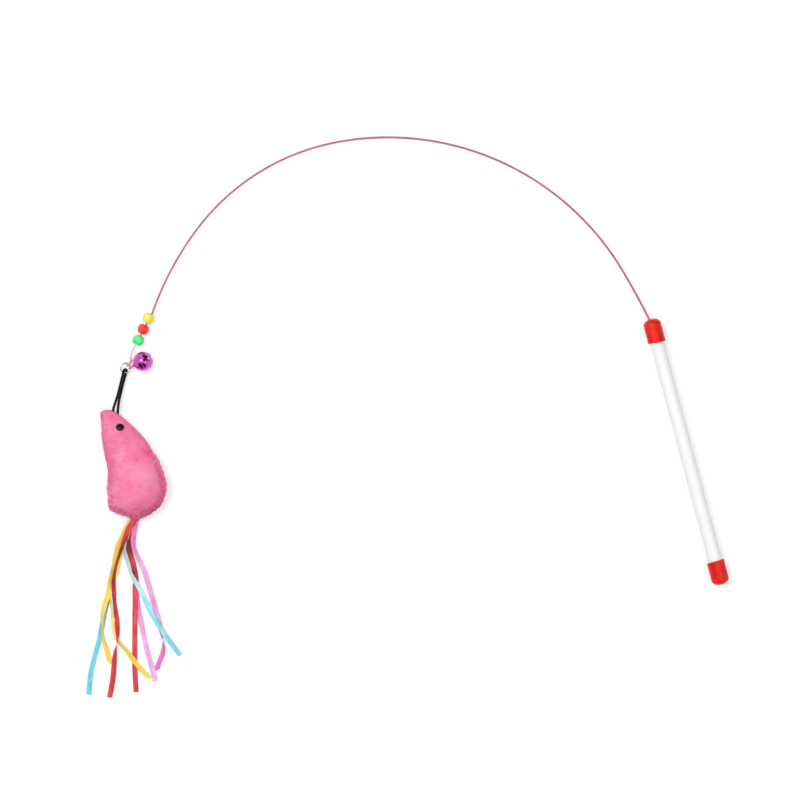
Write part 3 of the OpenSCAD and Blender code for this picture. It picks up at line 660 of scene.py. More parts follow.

# %% [markdown]
# The routes are counted from the tail's root. The numbers after a route are the ribbon's
# layers at the root, in the pile and at its end, and the two shares between which it sinks
# to the last. Then come its rolls, the slant of its end, and its tones of painted shade and
# highlight along it.

# %% Lay the eight ribbons
RIBBONS = {
    "ribbon_yellow_long": (
        [[-1.8, -0.2], [-6.5, -4.6], [-11.0, -10.0], [-15.4, -14.8], [-19.8, -22.6],
         [-23.2, -31.2], [-28.2, -39.6], [-31.6, -46.8], [-35.6, -53.0], [-39.6, -60.8],
         [-41.6, -68.4], [-43.4, -76.6], [-43.2, -87.4], [-43.2, -96.6]],
        (5, 2, 1, 0.65, 0.85), [(0, 0), (0.4, 6), (0.6, 10), (0.71, 55), (0.77, 78), (0.84, 40),
                                (0.92, 15), (1, 8)], 2.2,
        [(0, 0.3), (0.12, 0.42), (0.28, 0.5), (0.42, 0.36), (0.6, 0.52), (0.8, 0.6), (1, 0.5)]),
    "ribbon_yellow_short": (
        [[-1.0, -0.6], [-5.4, -6.4], [-10.4, -13.8], [-16.4, -22.0], [-21.2, -31.4],
         [-26.4, -39.6], [-30.0, -47.0], [-32.2, -56.4], [-33.4, -66.0], [-34.4, -76.0],
         [-33.0, -83.2], [-29.4, -90.4], [-26.4, -98.2], [-22.8, -106.0], [-18.4, -114.2]],
        (4, 1, 0, 0.88, 0.98), [(0, 0), (0.4, -8), (0.47, -68), (0.57, -72), (0.635, -10),
                                (0.69, -8), (0.74, -56), (0.84, -10), (1, 0)], 2.0,
        [(0, 0.3), (0.2, 0.4), (0.45, 0.6), (0.55, 0.72), (0.74, 0.68), (0.86, 0.46), (1, 0.56)]),
    "ribbon_red_long": (
        [[-0.6, -0.8], [-5.8, -6.2], [-10.2, -12.6], [-14.2, -18.6], [-19.0, -25.8],
         [-22.8, -32.6], [-25.6, -39.4], [-27.4, -46.8], [-28.8, -54.6], [-30.6, -66.8],
         [-32.0, -74.2], [-33.4, -80.0], [-36.4, -86.2], [-39.6, -94.0], [-44.4, -107.2],
         [-50.3, -119.8]],
        (6, 3, 0, 0.86, 1), [(0, 0), (0.1, 8), (0.2, 62), (0.32, 68), (0.4, 28), (0.5, 62),
                             (0.57, 15), (0.63, 25), (0.7, 88), (0.77, 150), (0.84, 176),
                             (1, 180)], 0.8,
        [(0, 0.45), (0.08, 0.55), (0.16, 0.4), (0.3, 0.28), (0.42, 0.4), (0.6, 0.5), (0.8, 0.44),
         (1, 0.55)]),
    "ribbon_red_short": (
        [[0, -1.0], [-4.4, -6.6], [-8.0, -12.4], [-9.2, -18.6], [-9.1, -25.0], [-9.0, -33.0],
         [-9.8, -41.4], [-12.2, -48.6], [-14.4, -57.0], [-18.2, -70.6], [-21.8, -83.6],
         [-25.6, -97.8], [-28.4, -109.6], [-30.7, -120.8]],
        (3, 1, 0, 0.6, 0.72), [(0, 0), (0.1, 10), (0.16, 30), (0.24, 8), (0.32, -3), (0.6, -3),
                               (1, 0)], 0,
        [(0, 0.42), (0.12, 0.22), (0.19, 0.2), (0.26, 0.5), (0.32, 0.3), (0.38, 0.5), (0.6, 0.55),
         (1, 0.5)]),
    "ribbon_blue_short": (
        [[-0.8, -1.4], [-6.4, -7.6], [-10.6, -13.4], [-12.4, -19.6], [-12.8, -26.0],
         [-12.4, -34.0], [-11.4, -40.6], [-9.6, -47.0], [-7.6, -56.4], [-5.4, -66.4],
         [-2.8, -76.6], [-0.4, -84.2], [3.4, -94.6], [7.2, -103.4]],
        (2.5, 3.6, 0, 0.82, 1, 18, 18), [(0, 0), (0.13, -5), (0.21, -52), (0.36, -60), (0.46, -22),
                                         (0.62, -14), (0.68, 38), (0.74, 5), (1, 0)], 0,
        [(0, 0.4), (0.2, 0.62), (0.34, 0.8), (0.42, 0.76), (0.55, 0.68), (0.68, 0.56), (1, 0.58)]),
    "ribbon_blue_long": (
        [[-2.4, -0.6], [-7.8, -6.6], [-13.0, -13.4], [-17.2, -20.2], [-22.6, -29.2],
         [-28.2, -40.0], [-33.4, -51.0], [-37.8, -59.2], [-41.4, -67.0], [-44.6, -73.2],
         [-47.8, -79.4], [-52.6, -87.8], [-57.8, -97.6], [-61.4, -105.8], [-64.2, -114.0]],
        (0, 0, 0, 0.8, 1), [(0, 0), (0.8, 0), (0.9, 8), (1, 0)], 0.5,
        [(0, 0.3), (0.4, 0.24), (0.54, 0.22), (0.62, 0.42), (0.8, 0.54), (1, 0.46)]),
    "ribbon_lilac_short": (
        [[1.4, -1.4], [-1.0, -6.4], [-3.4, -12.0], [-4.8, -17.4], [-4.8, -23.6], [-3.8, -30.2],
         [-2.4, -38.0], [-2.0, -49.6], [-1.8, -59.6], [-1.6, -68.2], [-1.4, -76.4],
         [-2.0, -84.0], [-2.6, -92.0], [-5.0, -98.6], [-9.2, -104.4], [-13.0, -109.8]],
        (2, 1, 0, 0.5, 0.7), [(0, 0), (0.06, 5), (0.15, 36), (0.24, 48), (0.31, 10), (0.5, 0),
                              (0.62, 22), (0.7, 10), (0.79, 80), (0.87, 170), (1, 180)], 2.4,
        [(0, 0.28), (0.12, 0.34), (0.22, 0.46), (0.34, 0.5), (0.55, 0.42), (0.68, 0.5),
         (0.8, 0.3), (1, 0.26)]),
    "ribbon_lilac_long": (
        [[0.8, -2.0], [-3.6, -8.4], [-7.4, -14.2], [-8.8, -22.0], [-8.8, -30.6], [-9.4, -40.0],
         [-11.2, -48.6], [-12.8, -56.4], [-13.8, -64.2], [-14.4, -75.2], [-15.2, -86.8],
         [-15.2, -98.6], [-15.0, -108.6], [-15.0, -116.6]],
        (1, 0, 1, 0.7, 0.85), [(0, 0), (0.5, 4), (0.8, -3), (1, 0)], 0,
        [(0, 0.3), (0.4, 0.22), (0.52, 0.3), (0.7, 0.5), (1, 0.56)]),
}

tail_start = np.array([*TAIL_ROOT, TAIL_Z])
for name, (route, layers, rolls, cut, painted_light_tones) in RIBBONS.items():
    dye = name.split("_")[1]
    line = ribbon_line(route, *layers)
    long = walked(line)[-1]
    ribbon = skin(name + ".satin", strip(line, rolls, cut), sharp=60)
    weave = satin(name.replace("_", " ") + " satin", dye, long, painted_light_tones)
    finish_piece(ribbon, weave, "ribbon_" + dye, None, name)
    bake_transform(ribbon)
    print(name, round(long, 1), "mm")

# %% [markdown]
# The ribbons' other ends are folded together and sewn into the rump's seam. Only a sliver
# shows between the two fleece panels. It is a short bar with one ridge for each layer.

# %% Bundle the ribbons' sewn ends
TAB_HEADING, TAB_FROM, TAB_TO = 235, -6.0, -0.1
TAB_SIDE, TAB_RISE = 3.9, 1.2


def squarish(wave, power):
    """Wave that dwells at both ends: its sign times its size to a power below 1."""
    return np.sign(wave) * np.abs(wave) ** power


tab_out = np.array([*heading(TAB_HEADING), 0])
tab_line = even_line(tail_start + np.array([[TAB_FROM], [TAB_TO]]) * tab_out, 0.25)
tab_turn = even_turns(72)
tab_ridge = 1 - 0.06 * np.abs(np.sin(4 * tab_turn * 2))
tab_side = squarish(np.cos(tab_turn), 0.45) * TAB_SIDE * tab_ridge
tab_rise = squarish(np.sin(tab_turn), 0.6) * TAB_RISE * tab_ridge
tab_waist = 1 - 0.12 * np.exp(-((walked(tab_line)[:, None] - 3) / 0.8) ** 2)
tab = skin("tail_tab.folded", carry(tab_line, tab_side * tab_waist, tab_rise * tab_waist))
finish_piece(tab, satin("sewn satin", "red", 6), "ribbon_red", "mouse", "tail_tab")
print("tab is", round(walked(tab_line)[-1], 1), "mm long")

# %% [markdown]
# ## The handle
#
# The handle is a length of white tube, cut off square, with a small chamfer where the
# saw's burr was taken off. The plastic is drawn through a die, so it carries faint lines
# along its length.

# %% Cut the tube
TUBE_R, BORE_R, CHAMFER = 5.0, 4.0, 0.12
tube_steps = np.linspace(CHAMFER, TUBE_LENGTH - CHAMFER, 60)
tube_profile = np.vstack([
    np.column_stack([np.full(60, TUBE_R), tube_steps]),
    [[TUBE_R - CHAMFER, TUBE_LENGTH], [BORE_R + CHAMFER, TUBE_LENGTH]],
    np.column_stack([np.full(60, BORE_R), tube_steps[::-1]]),
    [[BORE_R + CHAMFER, 0], [TUBE_R - CHAMFER, 0]]])
ALONG_HANDLE = (0, 1, 0)
tube = skin("handle_tube.drawn", set_on(turned(tube_profile, 128), (0, 0, 0), ALONG_HANDLE),
            ring=True, sharp=30)

white_tube = Finish("white tube", (248, 247, 250), 0.32, Subsurface_Weight=0.15,
                    Subsurface_Radius=(0.004, 0.003, 0.003), Subsurface_Scale=0.3,
                    Specular_IOR_Level=0.4)
die_lines = white_tube.cloud(1.0, 2.0, stretch=(1600, 9, 1600))
tint = white_tube.cloud(1.0, 2.0, stretch=(30, 12, 30))
white_tube.shades(tint, (0.3, (250, 250, 253)), (0.7, (254, 250, 254)))
white_tube.dull(die_lines, 0.26, 0.42)
white_tube.relief((die_lines, 0.01))
finish_piece(tube, white_tube, "tube_white", "handle", "handle_tube")
print("tube is", TUBE_LENGTH, "mm long and", 2 * TUBE_R, "mm across")

# %% [markdown]
# ## The vinyl caps
#
# Each cap is dipped vinyl: a dome, a straight skirt that hugs the tube, and a mouth that
# is never quite even, because it is where the cap was pulled off its former. The front
# cap is pierced for the wire, off its middle. Its dome is laid out from the hole to the
# shoulder, so that the hole needs no cutting.

# %% Shape the caps
CAP_WALL, SHOULDER, DOME, SKIRT, LIP = 1.4, 1.0, 4.0, 12.5, 0.5
HOLE_R, HOLE_OUT, HOLE_IN = 0.86, 1.218, 0.933
BULGE, BULGE_H, UNEVEN = 0.12, 0.9, ((0.05, 5),)
CAP_SPOKES = 144
cap_turn = even_turns(CAP_SPOKES)


def dome_part(radius, height, base, hole, hole_r, share):
    """From the hole to the shoulder: a plan point is the hole's rim at share 0 and the
    shoulder at share 1, and its height is base + height sqrt(1 - (distance / radius)^2)."""
    out = np.sin(share * np.pi / 2)[:, None]
    x = (1 - out) * (hole + hole_r * np.cos(cap_turn)) + out * radius * np.cos(cap_turn)
    y = ((1 - out) * hole_r + out * radius) * np.sin(cap_turn)
    far = np.minimum(np.hypot(x, y) / radius, 1)
    return np.stack([x, y, base + height * np.sqrt(1 - far ** 2)], -1)


def skirt_part(radius, heights):
    """Straight wall: circles at these heights, one row each."""
    return turned(np.column_stack([np.full(len(heights), radius), heights]), CAP_SPOKES)


def cap_grid(hole_out, hole_in, hole_r, mouth):
    """Outer dome, wall, rounded mouth, inner wall and inner dome, with the dome at the top.
    The mouth's height changes by a wave round the cap, which fades towards the shoulder.
    The wall bulges by 0.12 mm near the mouth, and the vinyl is a little uneven."""
    quarter = np.linspace(0, np.pi / 2, 9)[1:, None]
    lip = np.column_stack([CAP_R - LIP + LIP * np.cos(quarter[:, 0]),
                           -SKIRT + LIP - LIP * np.sin(quarter[:, 0])])
    grid = np.vstack([
        dome_part(CAP_R, DOME, SHOULDER, hole_out, hole_r, np.linspace(0, 1, 40)),
        skirt_part(CAP_R, np.linspace(SHOULDER, -SKIRT + LIP, 44)[1:]),
        turned(lip, CAP_SPOKES), skirt_part(TUBE_R + 0.05, [-SKIRT]),
        skirt_part(TUBE_R, np.linspace(-SKIRT + 0.05, 0, 12)),
        dome_part(TUBE_R, DOME + SHOULDER - CAP_WALL, 0, hole_in, hole_r,
                  np.linspace(1, 0, 24)[1:])])
    low = ease(-grid[..., 2] / SKIRT)
    bulge = BULGE * np.exp(-((grid[..., 2] + SKIRT - BULGE_H) / BULGE_H) ** 2)
    bulge = bulge + bumps(grid, UNEVEN, 11) * low
    grid[..., :2] *= 1 + (bulge / CAP_R)[..., None]
    grid[..., 2] += mouth * low ** 3
    return grid


def stands(grid):
    """Keeps a soft piece on the table: no point lower than the floor."""
    grid[..., 2] = np.maximum(grid[..., 2], FLOOR)
    return grid


uneven = 0.3 * np.tanh(9 * (np.cos(cap_turn) - 0.35)) + 0.04 * np.sin(3 * cap_turn)
slanted = 0.3 * np.cos(cap_turn + 2.6) + 0.1 * np.sin(2 * cap_turn)
front = cap_grid(HOLE_OUT, HOLE_IN, HOLE_R, uneven) * [-1, 1, 1]
front_cap = skin("front_cap.dipped", stands(front[..., [0, 2, 1]] + [0, TUBE_LENGTH, 0]),
                 ring=True, sharp=50)
rear = cap_grid(0, 0, TIP_R, slanted)
rear_cap = skin("rear_cap.dipped", stands(rear[..., [0, 2, 1]] * [1, -1, 1]), sharp=50)
print("front cap ends at", round(front[..., 2].max() + TUBE_LENGTH, 2), "mm")

# %% [markdown]
# Dipped vinyl is glossy, but it flowed as it set, so its red and its gloss drift slowly.
# Two clouds are enough for that: a long one for the flow marks and a fine one for pores.
# Vinyl also lets a little light in, hence the touch of subsurface.

# %% Give the caps their glossy red
vinyl = Finish("red vinyl", (222, 24, 16), 0.24, Specular_IOR_Level=0.25,
               Subsurface_Weight=0.08, Subsurface_Radius=(0.003, 0.001, 0.001),
               Subsurface_Scale=0.3)
flow_marks = vinyl.cloud(1.0, 4.0, stretch=(260, 110, 260))
pores = vinyl.cloud(2600, 2.0)
vinyl.shades(flow_marks, (0.25, (212, 14, 8)), (0.55, (234, 26, 16)), (0.8, (244, 44, 30)))
vinyl.dull(flow_marks, 0.18, 0.32)
vinyl.relief((flow_marks, 0.07), (pores, 0.01))
for cap, node in ((front_cap, "front_cap"), (rear_cap, "rear_cap")):
    finish_piece(cap, vinyl, "cap_red", "handle", node)
print("vinyl wall is", CAP_WALL, "mm")

# %% [markdown]
# ## The wire
#
# Spring steel inside, pink plastic outside. The plastic was extruded over the steel, so
# it is smooth but not perfect.

# %% Draw the coat and the core
COAT_R, CORE_R, CORE_PACE = 0.75, 0.5, 0.6
COAT_INSIDE, CORE_HELD = 0.7, 0.885
BEAD_R = 4.15
coat_line = np.vstack([WIRE_EXIT - COAT_INSIDE * heading(EXIT_HEADING), bow, kink[1:],
                       kink[-1] + [(RUN - BEAD_R) * heading(run_heading)]])
coat_line = dipped(even_line(coat_line, WIRE_PACE))
straight = even_line(np.array([kink[-1], neck_start]), CORE_PACE)
core_line = np.vstack([bow[1:], kink[1:], straight[1:],
                       neck[len(neck) // 20: int(len(neck) * CORE_HELD)]])
core_line = dipped(even_line(core_line, CORE_PACE))

coat_skin = carry(coat_line, *round_profile(COAT_R, 16))
wave = 1 + 0.012 * mottle(coat_line, 14, 5)[:, None, None]
coat_skin = coat_line[:, None] + (coat_skin - coat_line[:, None]) * wave
coat = skin("wire_coat.extruded", coat_skin, sharp=50)
core = skin("wire_core.drawn", carry(core_line, *round_profile(CORE_R, 12)), sharp=50)
print("coat", round(walked(coat_line)[-1], 1), "mm, core", round(walked(core_line)[-1], 1), "mm")

# %% [markdown]
# One cloud of flecks is enough for each of the wire's finishes: streaks along the pink coat,
# and the grain of the drawn steel.

# %% Finish the wire
pink_coat = flecked("pink coat", (200, 100, 138), 0.34, (1.0, 3.0), (0.3, (184, 84, 122)),
                    (0.7, (212, 112, 152)), (0.28, 0.45), 0.02,
                    {"stretch": (120, 120, 900)}, Specular_IOR_Level=0.3)
bare_wire = flecked("bare wire", (196, 160, 172), 0.34, (2200, 3.0), (0.3, (176, 138, 152)),
                    (0.7, (214, 184, 194)), (0.25, 0.45), 0.01, Metallic=0.85)

for piece, finish, words, node in ((coat, pink_coat, "wire_pink", "wire_coat"),
                                   (core, bare_wire, "bare_wire", "wire_core")):
    finish_piece(piece, finish, words, None, node)
    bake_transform(piece)

# %% [markdown]
# ## The three beads
#
# Round plastic beads with a wide bore, one on top of another on the wire. Each is turned:
# the ball's outline from the bore's rim round to the other rim, and back through the
# bore. A fine ridge round the middle is where the two halves of the mould met.

# %% Turn the beads
BEAD_BORE, BEAD_ROUND, RIM_H = 2.1, 0.12, 0.35
BEAD_HEADING, BEAD_PITCH, FIRST_BEAD, BEAD_ASIDE = run_heading + 3.3, 8.7, 3.3, 1
BEAD_DROPS = (0.320156, 0.923746, 1.05)
first_bead = (kink[-1] + FIRST_BEAD * heading(run_heading)
              - BEAD_ASIDE * heading(run_heading + 90))

rim_angle = np.arcsin((BEAD_BORE + BEAD_ROUND) / (BEAD_R - BEAD_ROUND * 0.4))
ball_turn = np.linspace(rim_angle, np.pi - rim_angle, 72)
mould_line = 0.035 * np.exp(-((ball_turn - np.pi / 2) * BEAD_R / 0.1) ** 2)
ball = np.column_stack([(BEAD_R + mould_line) * np.sin(ball_turn), BEAD_R * np.cos(ball_turn)])
round_turn = np.linspace(0.35, np.pi / 2, 6)
rim = np.column_stack([ball[0, 0] - (ball[0, 0] - BEAD_BORE) * np.sin(round_turn),
                       ball[0, 1] - RIM_H * (1 - np.cos(round_turn))])
bead_profile = np.vstack([ball, (rim * [1, -1]), rim[::-1]])

BEAD_DYES = {"yellow": ((246, 226, 48), (255, 246, 120)), "red": ((236, 46, 24), (255, 90, 62)),
             "green": ((60, 228, 112), (118, 255, 164))}
for i, (dye, (deep, bright)) in enumerate(BEAD_DYES.items()):
    plastic = flecked(dye + " bead", deep, 0.2, (240, 3.0), (0.3, deep), (0.72, bright),
                      (0.16, 0.3), 0.012, {"turn": (i, 0.5, 0)}, Specular_IOR_Level=0.3,
                      Subsurface_Weight=0.2, Subsurface_Radius=(0.003, 0.003, 0.003),
                      Subsurface_Scale=0.4)
    middle = dipped(first_bead + i * BEAD_PITCH * heading(BEAD_HEADING), -BEAD_DROPS[i])
    axis = dipped(WIRE_EXIT + heading(BEAD_HEADING)) - dipped(WIRE_EXIT)
    bead = skin("bead_" + dye + ".moulded", set_on(turned(bead_profile, 96), middle, axis),
                ring=True, sharp=50)
    finish_piece(bead, plastic, "bead_" + dye, f"bead_{i + 1}", "bead_" + dye)
    print(dye, "bead at", np.round(middle, 2))

# %% [markdown]
# ## Eye and ring
#
# A soft pink plastic eye is moulded on the wire's end. Its collar grips the last bit of
# the bare wire. The ring that hangs in it is split, like the ring of a key fob, and its
# two cut ends nearly meet.

# %% Mould the eye
eye_axis = [*heading(EYE_HEADING + 90), 0]
eye = skin("wire_eye.loop", set_on(hoop(EYE_R, COAT_R, 96, 28), dipped(eye_middle), eye_axis),
           ring=True)
COLLAR_FROM, COLLAR_ROUND = 0.62, 0.5
collar_line = dipped(even_line(neck[int(len(neck) * COLLAR_FROM):], 0.1))
collar_far = walked(collar_line)
started = np.clip(collar_far / COLLAR_ROUND, 0, 1)
collar_r = COAT_R * np.sqrt(np.clip(1 - (1 - started) ** 2, 0.35, 1))
collar = skin("wire_eye.collar", carry(collar_line, *round_profile(collar_r, 28)), sharp=60)

pale_pink = flecked("pale pink plastic", (248, 160, 184), 0.36, (500, 3.0),
                    (0.3, (243, 138, 166)), (0.7, (253, 184, 202)), (0.3, 0.45), 0.03,
                    Subsurface_Weight=0.3, Subsurface_Radius=(0.003, 0.0015, 0.0015),
                    Subsurface_Scale=0.4)
finish_piece(eye, pale_pink, "eye_pink", "bow", "wire_eye")
finish_piece(collar, pale_pink, "eye_pink", "bow")
print("collar grips", round(collar_far[-1], 1), "mm of the wire")

# %% [markdown]
# The ring is one turn of nickelled wire. A torus would have no slit, so a round profile is
# carried round most of a circle instead, and it gets thinner at its two cut ends.

# %% Bend the split ring
RING_SPAN = 355
slit_turn = np.radians(120 + np.linspace(0, RING_SPAN, 200))
ring_line = RING + RING_R * np.stack([np.cos(slit_turn), np.sin(slit_turn), 0 * slit_turn], -1)
ring_far = walked(ring_line)
end_gap = np.minimum(ring_far, ring_far[-1] - ring_far)
ring_wire = RING_WIRE * np.sqrt(1 - 0.3 * np.clip(1 - end_gap / 0.2, 0, 1) ** 2)
jump_ring = skin("jump_ring.split", carry(ring_line, *round_profile(ring_wire, 24)), sharp=50)

nickel = flecked("nickel", (150, 150, 158), 0.16, (1500, 4.0), (0.3, (112, 112, 120)),
                 (0.65, (176, 176, 184)), (0.08, 0.3), 0.012, Metallic=1.0)
finish_piece(jump_ring, nickel, "ring_nickel", "ring", "jump_ring")
slit = 2 * np.pi * RING_R * (360 - RING_SPAN) / 360
print("ring's opening is", round(slit, 2), "mm along its wire")

# %% [markdown]
# ## The jingle bell
#
# Two pressed shells. The crown has a drawn neck with an eyelet and a rolled lip, and the
# lip holds the skirt. The neck's outline and the ball's are joined smoothly: the larger
# of the two radii, rounded off where they cross.

# %% Press the bell's crown
BELL_R, BELL_WALL, SHANK, EYELET_R, EYELET_WIRE = 7.0, 0.5, 9.9, 1.6, 0.5
LIP_H, LIP_OUT = 0.8, 0.3
HANGER_HEADING, BELL_HEADING, HANG = -10, 11, 0.5
bell_rise = FLOOR + BELL_R + LIP_OUT - LINK_Z
hanger = RING + RING_R * np.array([*heading(HANGER_HEADING), 0])
bell_pitch = np.arcsin(bell_rise / (SHANK + HANG))
bell_out = (SHANK + HANG) * np.cos(bell_pitch)
bell_middle = hanger + [*(bell_out * heading(BELL_HEADING)), bell_rise]
bell_axis = np.array([*(-np.cos(bell_pitch) * heading(BELL_HEADING)), -np.sin(bell_pitch)])

THROAT_TOP, THROAT_FOOT, THROAT_R, FLARE = 8.3, 5.81, 0.75, 3.3
THROAT_BLEND, BALL_ONLY = 0.5, 4.5
neck_z = np.linspace(8.45, 0.62, 90)
neck_share = np.clip((neck_z - THROAT_FOOT) / (THROAT_TOP - THROAT_FOOT), 0, 1)
neck_r = THROAT_R + FLARE * (1 - neck_share) ** 1.4
ball_r = np.sqrt(np.clip(BELL_R ** 2 - neck_z ** 2, 0, None))
crown_r = (neck_r + ball_r + np.sqrt((neck_r - ball_r) ** 2 + THROAT_BLEND ** 2)) / 2
most = np.where(neck_z > BELL_R, neck_r + 0.05, 2 * BELL_R)
crown_r = np.where(neck_z < BALL_ONLY, ball_r, np.minimum(crown_r, most))
lip_turn = np.linspace(np.pi / 2, -np.pi / 2, 14)
lip = np.column_stack([BELL_R + 0.02 + (LIP_OUT - 0.02) * np.cos(lip_turn) ** 0.7,
                       LIP_H / 2 * np.sin(lip_turn)])
inner = on_ball(BELL_R - BELL_WALL, np.linspace(np.pi / 2, 0.02, 40))
crown_profile = np.vstack([[[TIP_R, 8.5]], np.column_stack([crown_r, neck_z]), lip,
                           [[BELL_R + 0.02, -0.02]], inner])
crown = skin("bell_crown.pressed", set_on(turned(crown_profile, 160), bell_middle, bell_axis),
             sharp=45)
eyelet_middle = bell_middle + SHANK * bell_axis
eyelet = skin("bell_crown.eyelet", set_on(hoop(EYELET_R, EYELET_WIRE, 80, 24), eyelet_middle,
                                          [*heading(BELL_HEADING + 90), 0]), ring=True)
print("bell's middle", np.round(bell_middle, 2), "eyelet's", np.round(eyelet_middle, 2))

# %% [markdown]
# The skirt is the other half of the ball, with two crossed slots that end in round holes.
# The slots are cut with Blender's Boolean, as a press tool would. The cut leaves large
# flat faces, so the ball's true directions are then written back: outwards on the outer
# skin, inwards on the inner one, and left alone on the walls of the slots.

# %% Press the skirt and cut its slots
skirt_turn = np.linspace(np.pi / 2, np.pi - 0.01, 60)
shell = np.vstack([on_ball(BELL_R, skirt_turn), on_ball(BELL_R - BELL_WALL, skirt_turn)[::-1]])
skirt = skin("bell_skirt.pressed", set_on(turned(shell, 128), bell_middle, bell_axis),
             ring=True, sharp=45)
SLOT_W, HOLE_TILT, CUT_PAST = 1.3, np.radians(62), 2


def slot_cutter(turn):
    """A flat bar with round pegs at its ends, drawn about the bell's axis: the bar's
    outline is a long slot seen from below, and the pegs lean out to the holes."""
    reach = BELL_R * np.sin(HOLE_TILT)
    depth = BELL_R * (1 - np.cos(HOLE_TILT)) / 2
    box = np.array([[x, y, z] for z in (-BELL_R - CUT_PAST, -BELL_R + depth)
                    for x, y in ((-reach, -SLOT_W / 2), (reach, -SLOT_W / 2),
                                 (reach, SLOT_W / 2), (-reach, SLOT_W / 2))]).reshape(2, 4, 3)
    grids = [box]
    for tilt in (-HOLE_TILT, HOLE_TILT):
        way = np.array([np.sin(tilt), 0, -np.cos(tilt)])
        peg = turned([[SLOT_W, BELL_R - CUT_PAST], [SLOT_W, BELL_R + CUT_PAST]], 40)
        grids.append(set_on(peg, (0, 0, 0), way, (0, 1, 0)))
    spin = np.array([[np.cos(turn), np.sin(turn), 0], [-np.sin(turn), np.cos(turn), 0], [0, 0, 1]])
    return [set_on(grid @ spin, bell_middle, bell_axis) for grid in grids]


cutters = [skin(f"slot.{k}.{m}", grid, sharp=None)
           for k, turn in enumerate((0, np.pi / 2)) for m, grid in enumerate(slot_cutter(turn))]
for cutter in cutters:
    cut = skirt.modifiers.new("slot", "BOOLEAN")
    cut.object, cut.operation, cut.solver = cutter, "DIFFERENCE", "MANIFOLD"
bpy.context.view_layer.update()
cut_skirt = skirt.evaluated_get(bpy.context.evaluated_depsgraph_get())
cut_mesh = bpy.data.meshes.new_from_object(cut_skirt)
skirt.modifiers.clear()
skirt.data = cut_mesh
for cutter in cutters:
    bpy.data.objects.remove(cutter)


def read_off(items, word, width=1, kind=float):
    """One word of every item of a mesh, a row of numbers for each."""
    values = np.zeros(len(items) * width, kind)
    items.foreach_get(word, values)
    return values.reshape(-1, width)


def true_to_ball(piece, middle, radii):
    """Corner directions: straight out from the middle where a face lies on the outer
    radius, straight in where it lies on the inner one, and the face's own elsewhere."""
    mesh = piece.data
    corner = read_off(mesh.loops, "vertex_index", kind=int)[:, 0]
    sizes = read_off(mesh.polygons, "loop_total", kind=int)[:, 0]
    out = read_off(mesh.vertices, "co", 3)[corner] - middle * MM
    way = np.repeat(read_off(mesh.polygons, "normal", 3), sizes, axis=0)
    outward = unit(out)
    along = (way * outward).sum(1)
    far = np.linalg.norm(out, axis=1) / MM
    on_outer = (along > 0.97) & (far > radii[0] - 0.1)
    on_inner = (along < -0.97) & (far < radii[1] + 0.1)
    way = np.where(on_outer[:, None], outward, np.where(on_inner[:, None], -outward, way))
    mesh.normals_split_custom_set(way.tolist())


true_to_ball(skirt, bell_middle, (BELL_R, BELL_R - BELL_WALL))
print("skirt has", len(skirt.data.polygons), "faces after the slots are cut")

# %% [markdown]
# The bell's colour is a clear magenta lacquer over bright metal. It could be a plain glossy
# paint, but then it would not mirror the room. So the finish is all metal, tinted, under a
# thin clear coat, and a little duller where it has been handled.

# %% Lacquer the bell
lacquer = Finish("magenta lacquer", (206, 80, 184), 0.1, Metallic=1.0,
                 Coat_Weight=0.3, Coat_Roughness=0.05, Coat_Tint=(1.0, 0.75, 0.95, 1.0))
handled = lacquer.cloud(420, 5.0)
specks = lacquer.cloud(4200, 2.0)
lacquer.shades(handled, (0.25, (188, 56, 164)), (0.7, (220, 98, 200)))
lacquer.dull(handled, 0.05, 0.12)
lacquer.relief((handled, 0.008), (specks, 0.0008))
for piece, stands_for in ((crown, ["bell_crown"]), (eyelet, []), (skirt, ["bell_skirt"])):
    finish_piece(piece, lacquer, "bell_magenta", "bell", *stands_for)
print("bell is", 2 * BELL_R, "mm across and of", BELL_WALL, "mm sheet")

# %% [markdown]
# ## What is hidden
#
# The plug, the crimped ferrule, the wire's root and the bell's loose ball keep their CAD
# shapes, which are right already. They still get finishes, because a section view or an
# X-ray of the model shows them.

# %% Finish the hidden nodes
ivory = flecked("ivory plug", (226, 222, 208), 0.5, (700, 4.0), (0.3, (214, 208, 190)),
                (0.7, (234, 231, 220)), None, 0.04)
brass = Finish("ferrule brass", (196, 178, 120), 0.3, Metallic=1.0)
crimp = brass.lines(160, "Y", stretch=(0, 1, 0))
brass.shades(crimp, (0.0, (160, 138, 84)), (1.0, (214, 196, 138)))
brass.dull(crimp, 0.2, 0.4)
brass.relief((crimp, 0.05))
steel = flecked("polished steel", (168, 170, 176), 0.12, (1800, 5.0), (0.3, (150, 152, 158)),
                (0.7, (190, 192, 198)), (0.08, 0.28), 0.006, Metallic=1.0)
for node, finish in (("wire_plug", ivory), ("wire_ferrule", brass), ("bell_pellet", steel),
                     ("wire_core_root", steel), ("wire_coat_root", pink_coat)):
    put_on(nodes[node], finish)
    print(node, "is", finish.material.name)

# %% [markdown]
# ## The stuffed mouse: its shape
#
# Two fleece panels, a back and a belly, are sewn together at the edge and stuffed. The
# outline is a table of shares, as a paper pattern would be: how far the left and right
# edges stand out, and how full the body is, at twenty stations from nose to rump. A
# smooth curve that never overshoots is passed through each table.
#
# Cloth simulation could inflate the two panels, but the mouse must keep the CAD's
# outline, and its seam does most of the work. So the fullness is worked out, and the
# seam's flange, its puckers and the lumps of the filling are pressed into it.

